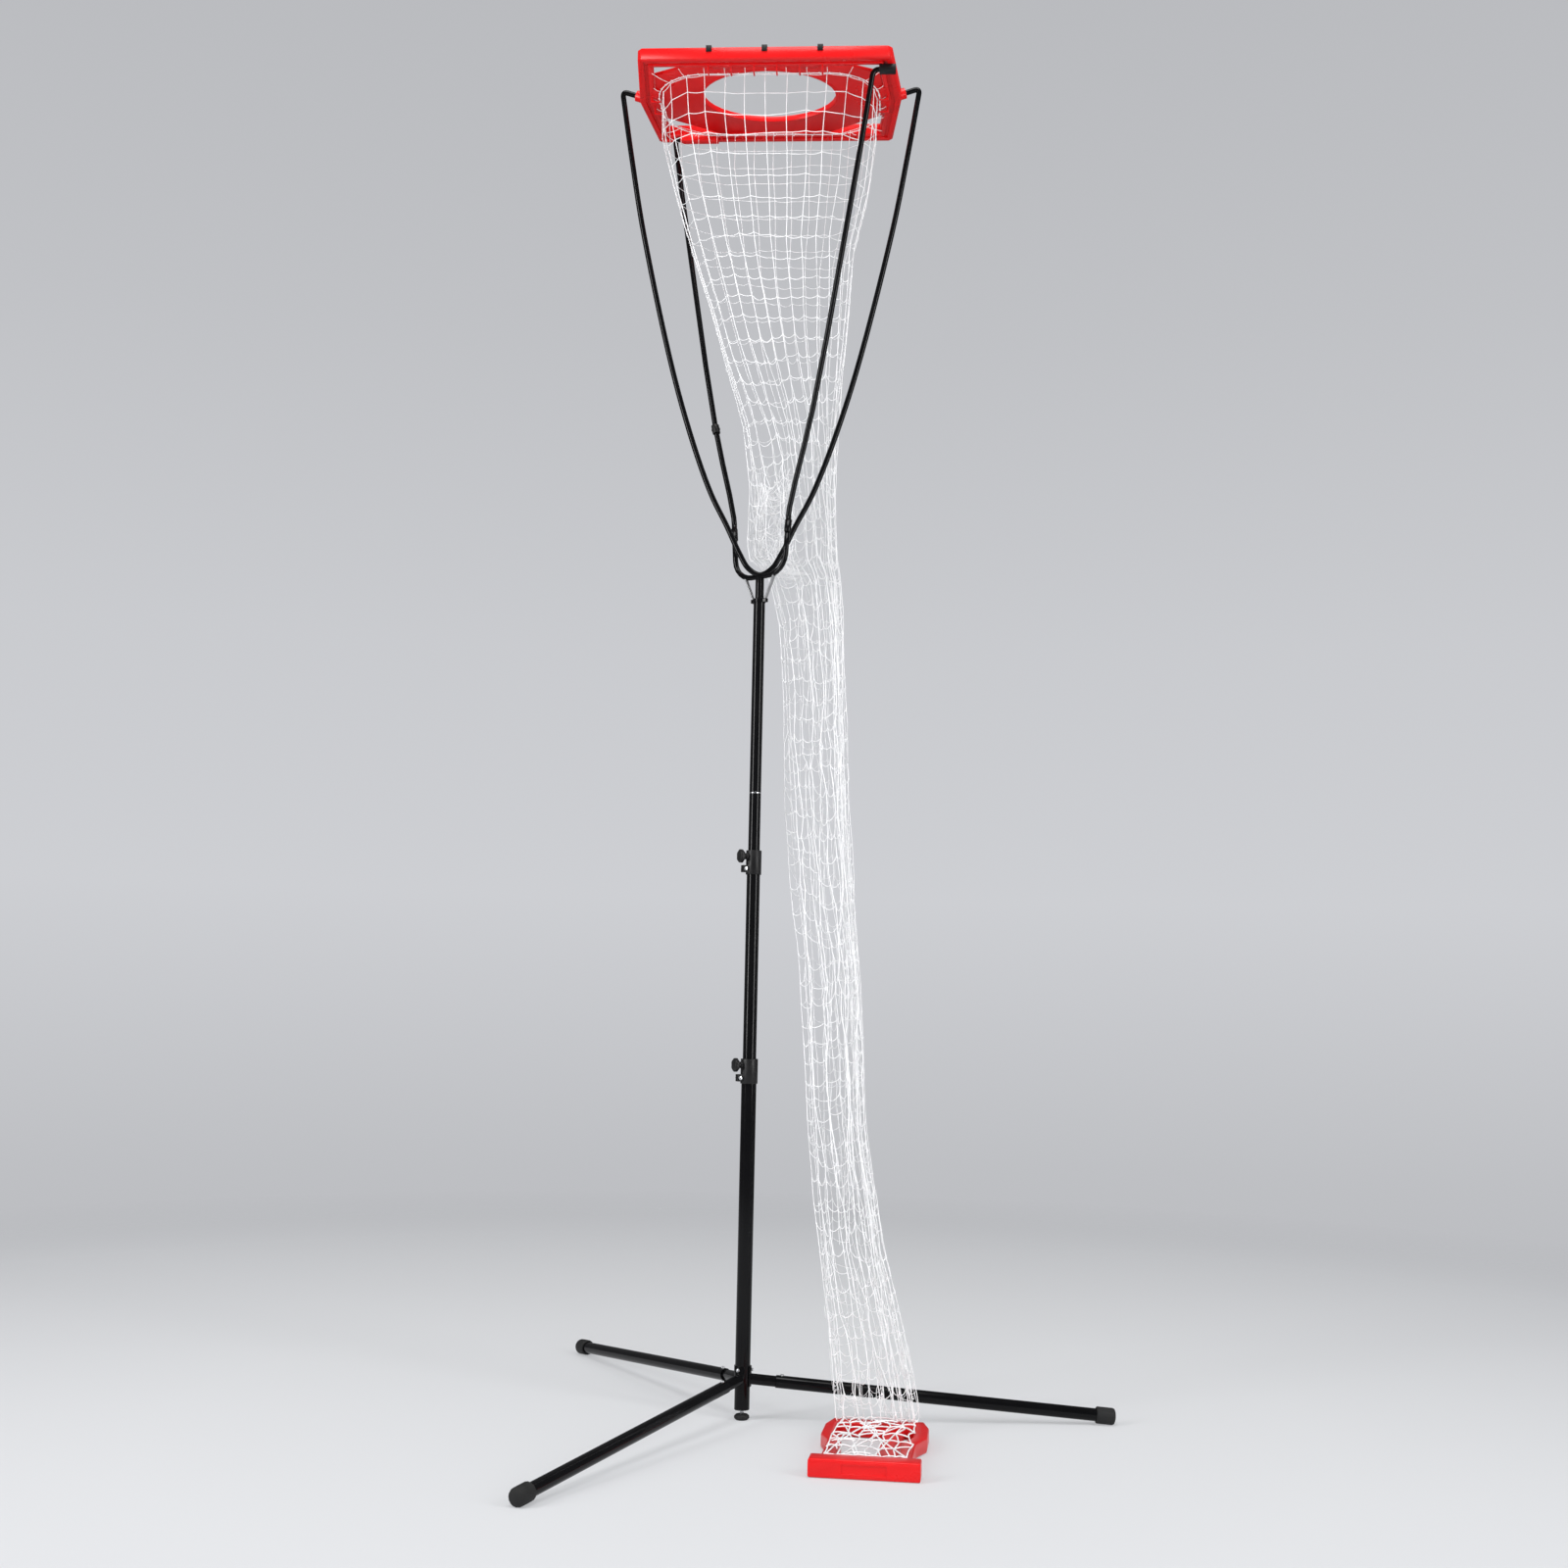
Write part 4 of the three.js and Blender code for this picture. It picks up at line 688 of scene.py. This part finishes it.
# Where a column runs at a height: even at the mouth, wide at the left fold and bunched in the chute
def columnShare(column, height):
    even = (column + 0.5) / netSet["columns"]
    once, twice = netSet["bunch"]
    bunched = even + once / (2 * pi) * sin(2 * pi * even) + twice / (4 * pi) * sin(4 * pi * even)
    loose = looseness("across", height)
    stray = ripple(column * 3.1, height * 3.3, 5.5) + 0.6 * ripple(column * 5.7, height * 8.1, 9.2)
    return mix(even, bunched, loose) + mix(*straySet["across"], loose) * stray / perimeter(height)


# How far a column lies inside the net's outline: every other one is pleated inwards
def columnInset(column, height):
    loose = looseness("pleat", height)
    pleat = (column % 2) * mix(*straySet["pleat"], loose)
    pleat += mix(*straySet["crumple"], loose) * abs(ripple(column * 1.7, height * 2.3, 3))
    return netSet["inset"] + min(pleat, netSection(height)["halfDepth"] * netSet["deepest"])


def netSpot(column, row, rowHeight):
    loose = looseness("row", rowHeight)
    slow = ripple(column * 0.33, row * 0.45, 1.5) + 0.35 * sin(column * 2 * pi / netSet["columns"] + row * 0.37)
    height = rowHeight + mix(*straySet["row"], loose) * (slow + 0.5 * ripple(column * 1.9, row * 1.3, 7.5))
    height = min(max(height, netSet["bottom"] + 2 * netSet["margin"]), netSet["top"] - netSet["margin"])
    aside = straySet["aside"] * loose * ripple(column * 1.7, row * 1.3, 9)
    return ringSpot(height, columnShare(column, height) + aside, columnInset(column, height))


# A strand across, between two knots: what it is longer than the gap hangs down, and a little bellies out
strandSet = {"steps": 6, "sag": 0.36, "belly": 0.0015, "bellyShare": 0.12, "taut": 0.08, "slackLeast": 0.1,
             "slackSpread": 1.2, "slackMost": 0.85, "weight": (0.95, 0.85)}


def strandPoints(start, end, outward, slackShare, seed):
    gap = (end - start).length
    slack = max(netSet["cell"] - gap, 0) * slackShare
    drop = sqrt(max(slack * (gap + slack) * strandSet["sag"], 0))
    belly = (strandSet["belly"] + strandSet["bellyShare"] * drop) * 2 * ripple(*seed)
    points = []
    for step in range(strandSet["steps"] + 1):
        way = step / strandSet["steps"]
        points.append(start.lerp(end, way) + (Vector((0, 0, -drop)) + outward * belly) * (4 * way * (1 - way)))
    return points


# Strands as thin tubes, with knots as small squat balls
def netMesh(name, strands, knots, radius, weights=None, thin=None):
    mesh = tubeMesh(name, strands, radius, netSet["rings"], weights, thin)
    bm = bmesh.new()
    bm.from_mesh(mesh)
    squat = Matrix.Diagonal((1, 1, netSet["knotSquat"], 1))
    for index, spot in enumerate(knots):
        size = netSet["knot"] * (1 + 0.25 * ripple(index * 0.73, 2.2, 4.1))
        bmesh.ops.create_icosphere(bm, subdivisions=1, radius=size, matrix=Matrix.Translation(spot) @ squat)
    bm.to_mesh(mesh)
    bm.free()
    return mesh


# Knots: rows from the mouth down, each owned by one of the net's four parts, and columns round them
netLevels = [netSet["top"], netSet["funnelEnd"], netSet["split"], netSet["foot"],
             netSet["bottom"] + 3 * netSet["margin"]]
netRows = []
for part, count in enumerate(netSet["rows"]):
    for step in range(count):
        netRows.append((part, mix(netLevels[part], netLevels[part + 1], step / count)))
netRows.append((len(netSet["rows"]) - 1, netLevels[-1]))
netGrid = [[netSpot(column, row, height) for column in range(netSet["columns"])]
           for row, (_, height) in enumerate(netRows)]


# The twine is stretched thinner on the far side, which carries the ball
tensionSet = {"near": 1.15, "far": 0.75, "from": -0.6, "to": 0.7}


def tension(point):
    section = netSection(point.z)
    way = (point.y - section["y"]) / section["halfDepth"]
    return mix(tensionSet["near"], tensionSet["far"], smoothStep(tensionSet["from"], tensionSet["to"], way))


# Slack folds of each part: where the funnel gathers over the crotch, along the chute, and where its foot
# piles up. In a heap one in three stands upright and the others hang across, and a chute's all stand.
heapFolds = {"drop": 0.03, "every": 3, "rise": 0.08}
chuteFolds = {"from": 0.2, "to": 0.8, "deep": 0.02, "every": 1, "rise": 0.2}
foldSet = [
    {"low": 1.81, "high": 2.02, "count": 260, "from": 0.8, "to": 1.24, "deep": 0.03, **heapFolds},
    {"low": netSet["split"] + 0.01, "high": netSet["funnelEnd"] - 0.06, "count": 24, **chuteFolds},
    {"low": netSet["foot"] + 0.01, "high": netSet["split"] - 0.06, "count": 40, **chuteFolds},
    {"low": 0.05, "high": 0.34, "count": 70, "from": 0.0, "to": 1.0, "deep": 0.012, **heapFolds}]
foldShape = {"steps": 6, "below": 0.008, "above": 0.05, "reach": 0.07, "reachSpread": 0.05, "lean": 0.15,
             "sway": 0.012, "weight": 0.6}


def looseStrand(folds, index):
    at = 0.5 + 0.5 * sin(index * 12.9898)
    around = 0.5 + 0.5 * sin(index * 78.233 + 1.3)
    upright = index % folds["every"] == 0
    height = mix(folds["low"], folds["high"], at if folds["every"] == 1 else at * at)
    if upright:
        half = folds["rise"] / 2
        height = min(max(height, folds["low"] + half), folds["high"] + foldShape["above"] - half)
    share = mix(folds["from"], folds["to"], around)
    reach = foldShape["reach"] + foldShape["reachSpread"] * sin(index * 3.7)
    along = foldShape["lean"] * reach if upright else reach
    deep = min(netSet["inset"] + folds["deep"] * abs(sin(index * 5.1)),
               netSection(height)["halfDepth"] * netSet["deepest"])
    points = []
    for step in range(foldShape["steps"] + 1):
        way = step / foldShape["steps"]
        lift = folds["rise"] * (way - 0.5) if upright else -folds["drop"] * 4 * way * (1 - way) * at
        level = min(max(height + lift, folds["low"] - foldShape["below"]), folds["high"] + foldShape["above"])
        sway = foldShape["sway"] * sin(index * 1.7 + way * 6)
        points.append(ringSpot(level, share + along * (way - 0.5) + sway, deep)[0])
    return points


# A strand down a column: its middle is drawn from the straight line towards the column's own
columnSet = {"straight": 0.35, "kink": 0.002}


def columnStrand(column, row):
    spot, under = netGrid[row][column][0], netGrid[row + 1][column][0]
    height = (spot.z + under.z) / 2
    middle, outward = ringSpot(height, columnShare(column, height), columnInset(column, height))
    kink = outward * columnSet["kink"] * ripple(column * 4.1, row * 3.3, 2)
    return [spot, middle.lerp((spot + under) / 2, columnSet["straight"]) + kink, under]


def makeNetPart(part, name, nodes, body):
    strands, knots, weights = [], [], []
    rows = [index for index, (owner, _) in enumerate(netRows) if owner == part]
    for row in rows:
        for column in range(netSet["columns"]):
            spot, outward = netGrid[row][column]
            beside = netGrid[row][(column + 1) % netSet["columns"]][0]
            loose = looseness("sag", netRows[row][1])
            uneven = strandSet["slackSpread"] * abs(ripple(column * 2.7, row * 1.9, 6.1))
            slack = min(strandSet["slackLeast"] + uneven, strandSet["slackMost"])
            share = mix(strandSet["taut"], slack, loose)
            strands.append(strandPoints(spot, beside, outward, share, (column * 1.3, row * 2.1, 8)))
            weights.append(mix(*strandSet["weight"], loose))
            if row + 1 < len(netGrid):
                strands.append(columnStrand(column, row))
                weights.append(1)
            knots.append(spot)
    folds = [looseStrand(foldSet[part], index) for index in range(foldSet[part]["count"])]
    weights += [foldShape["weight"]] * len(folds)
    mesh = netMesh(name, strands + folds, knots, netSet["twine"], weights, tension)
    return placeMesh(name, mesh, "white_cord", nodes, 80, body)


funnelNodes = ["net_funnel_front", "net_funnel_right", "net_funnel_rear", "net_funnel_left"]
makeNetPart(0, "net_funnel", funnelNodes, "upper")
netUpper = makeNetPart(1, "net_chute_upper_mesh", ["net_chute_upper"], "middle")
netLower = makeNetPart(2, "net_chute_lower_mesh", ["net_chute_lower"], "base")
netFoot = makeNetPart(3, "net_chute_foot_mesh", ["net_chute_foot"], "blended")
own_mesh(netUpper)
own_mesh(netLower)
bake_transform(netFoot)
print("net hung")

# Rim cord, wound with twine and laced up to the frame's lip. The laces' radius is a share of the cord's
rimSet = {"height": 2.883, "outset": 0.0032, "radius": 0.001, "steps": 160, "start": 0.625,
          "length": 0.998, "turns": 60, "turnStart": 0.63, "turnLength": 0.985, "turnSteps": 8,
          "turnPitch": 0.004, "wrap": 0.0019, "lace": 0.6, "lipX": 0.2635, "lipLean": 0.1026,
          "lipY": 0.159, "lipZ": 2.8885}


def rimSpot(share):
    spot, outward = ringSpot(netSet["top"], share, -rimSet["outset"])
    return Vector((spot.x, spot.y, rimSet["height"])), outward


def rimTurn(turn):
    share = rimSet["turnStart"] + rimSet["turnLength"] * turn / rimSet["turns"]
    coil = []
    for step in range(rimSet["turnSteps"] + 1):
        angle = 2 * pi * step / rimSet["turnSteps"]
        spot, outward = rimSpot(share + rimSet["turnPitch"] * step / rimSet["turnSteps"])
        coil.append(spot + (outward * cos(angle) + Vector((0, 0, sin(angle)))) * rimSet["wrap"])
    return coil


def rimLace(column):
    spot, outward = rimSpot((column + 0.5) / netSet["columns"])
    across = (rimSet["lipX"] - rimSet["lipLean"] * abs(spot.y) - abs(spot.x)) / max(abs(outward.x), 0.001)
    deep = (rimSet["lipY"] - abs(spot.y)) / max(abs(outward.y), 0.001)
    lip = spot + outward * min(across, deep)
    low = Vector((lip.x, lip.y, netSet["top"]))
    return [spot, spot.lerp(low, 0.5), Vector((lip.x, lip.y, rimSet["lipZ"]))]


def makeRimCord():
    steps = rimSet["steps"]
    cord = [rimSpot(rimSet["start"] + rimSet["length"] * step / steps)[0] for step in range(steps + 1)]
    laces = [rimTurn(turn) for turn in range(rimSet["turns"])]
    laces += [rimLace(column) for column in range(netSet["columns"])]
    weights = [1] + [rimSet["lace"]] * len(laces)
    mesh = netMesh("net_rim_laced", [cord, *laces], [], rimSet["radius"], weights)
    placeMesh("net_rim_laced", mesh, "white_cord", ["net_rim_cord"], 80)


makeRimCord()

# Tray net: wide uneven cells, long strands fanned over them and a loose heap on the left
traySet = {"x": 0.274, "y": -0.272, "turn": -4, "halfWidth": 0.079, "near": -0.136, "far": 0.174,
           "height": 0.0325, "columns": 6, "rows": 6, "taper": 0.97, "gather": 0.85,
           "stray": (0.02, 0.03, 0.003), "twine": 0.0015, "steps": 5, "bow": 0.012, "arch": 0.002}
fanSet = {"count": 6, "wide": 0.07, "far": 0.16, "short": 0.05, "tailWide": 0.075, "tailGap": 0.004,
          "height": 0.0335}
heapSet = {"count": 10, "across": (-0.075, 0.0), "along": (-0.12, 0.17), "height": 0.034, "wide": 0.045,
           "deep": 0.03}


def keptInTray(spot):
    spot.x = min(max(spot.x, -traySet["halfWidth"]), traySet["halfWidth"])
    spot.y = min(max(spot.y, traySet["near"]), traySet["far"])
    return spot


def traySpot(column, row):
    across, along = mix(-1, 1, column / traySet["columns"]), row / traySet["rows"]
    wide, deep, high = traySet["stray"]
    x = across * traySet["halfWidth"] * mix(1, traySet["taper"], along)
    x += wide * ripple(column * 1.7, row * 1.1, 3)
    y = mix(traySet["near"], traySet["far"], along ** traySet["gather"])
    y += deep * ripple(column * 0.9, row * 1.9, 12)
    z = traySet["height"] + high * abs(ripple(column * 2.1, row * 2.7, 21))
    return keptInTray(Vector((x, y, z)))


def inTrayFrame(spot):
    turned = Matrix.Rotation(radians(traySet["turn"]), 3, "Z") @ spot
    return turned + Vector((traySet["x"], traySet["y"], 0))


def trayStrand(start, end, seed):
    bow = Vector((ripple(*seed, 4.4), ripple(*seed, 31.0), 0)) * traySet["bow"]
    bow.z = traySet["arch"]
    points = []
    for step in range(traySet["steps"] + 1):
        way = step / traySet["steps"]
        points.append(inTrayFrame(start.lerp(end, way) + bow * 4 * way * (1 - way)))
    return points


def fanStrand(index):
    across = fanSet["wide"] * sin(index * 2.4)
    head = Vector((across, fanSet["far"] - fanSet["short"] * abs(sin(index * 1.9)), fanSet["height"]))
    tailAcross = mix(-fanSet["tailWide"], fanSet["tailWide"], index / (fanSet["count"] - 1))
    tail = Vector((tailAcross, traySet["near"] + fanSet["tailGap"], fanSet["height"]))
    return trayStrand(head, tail, (index * 1.9, 6.0))


def heapStrand(index):
    across = mix(*heapSet["across"], 0.5 + 0.5 * sin(index * 5.7))
    start = Vector((across, mix(*heapSet["along"], index / heapSet["count"]), heapSet["height"]))
    turn = index * 2.1
    reach = Vector((heapSet["wide"] * cos(turn), heapSet["deep"] * sin(turn), 0.001 * (index % 4)))
    return trayStrand(start, keptInTray(start + reach), (index * 0.7, 2.0))


def makeTrayNet():
    strands, knots = [], []
    for row in range(traySet["rows"] + 1):
        for column in range(traySet["columns"] + 1):
            spot = traySpot(column, row)
            for nextColumn, nextRow in ((column + 1, row), (column, row + 1)):
                if nextColumn <= traySet["columns"] and nextRow <= traySet["rows"]:
                    seed = (column * 3.3, row * 1.7 + nextColumn)
                    strands.append(trayStrand(spot, traySpot(nextColumn, nextRow), seed))
            knots.append(inTrayFrame(spot))
    strands += [fanStrand(index) for index in range(fanSet["count"])]
    strands += [heapStrand(index) for index in range(heapSet["count"])]
    mesh = netMesh("tray_net", strands, knots, traySet["twine"])
    placeMesh("tray_net_mesh", mesh, "white_cord", ["tray_net"], 80)


makeTrayNet()
print("tray net laid")
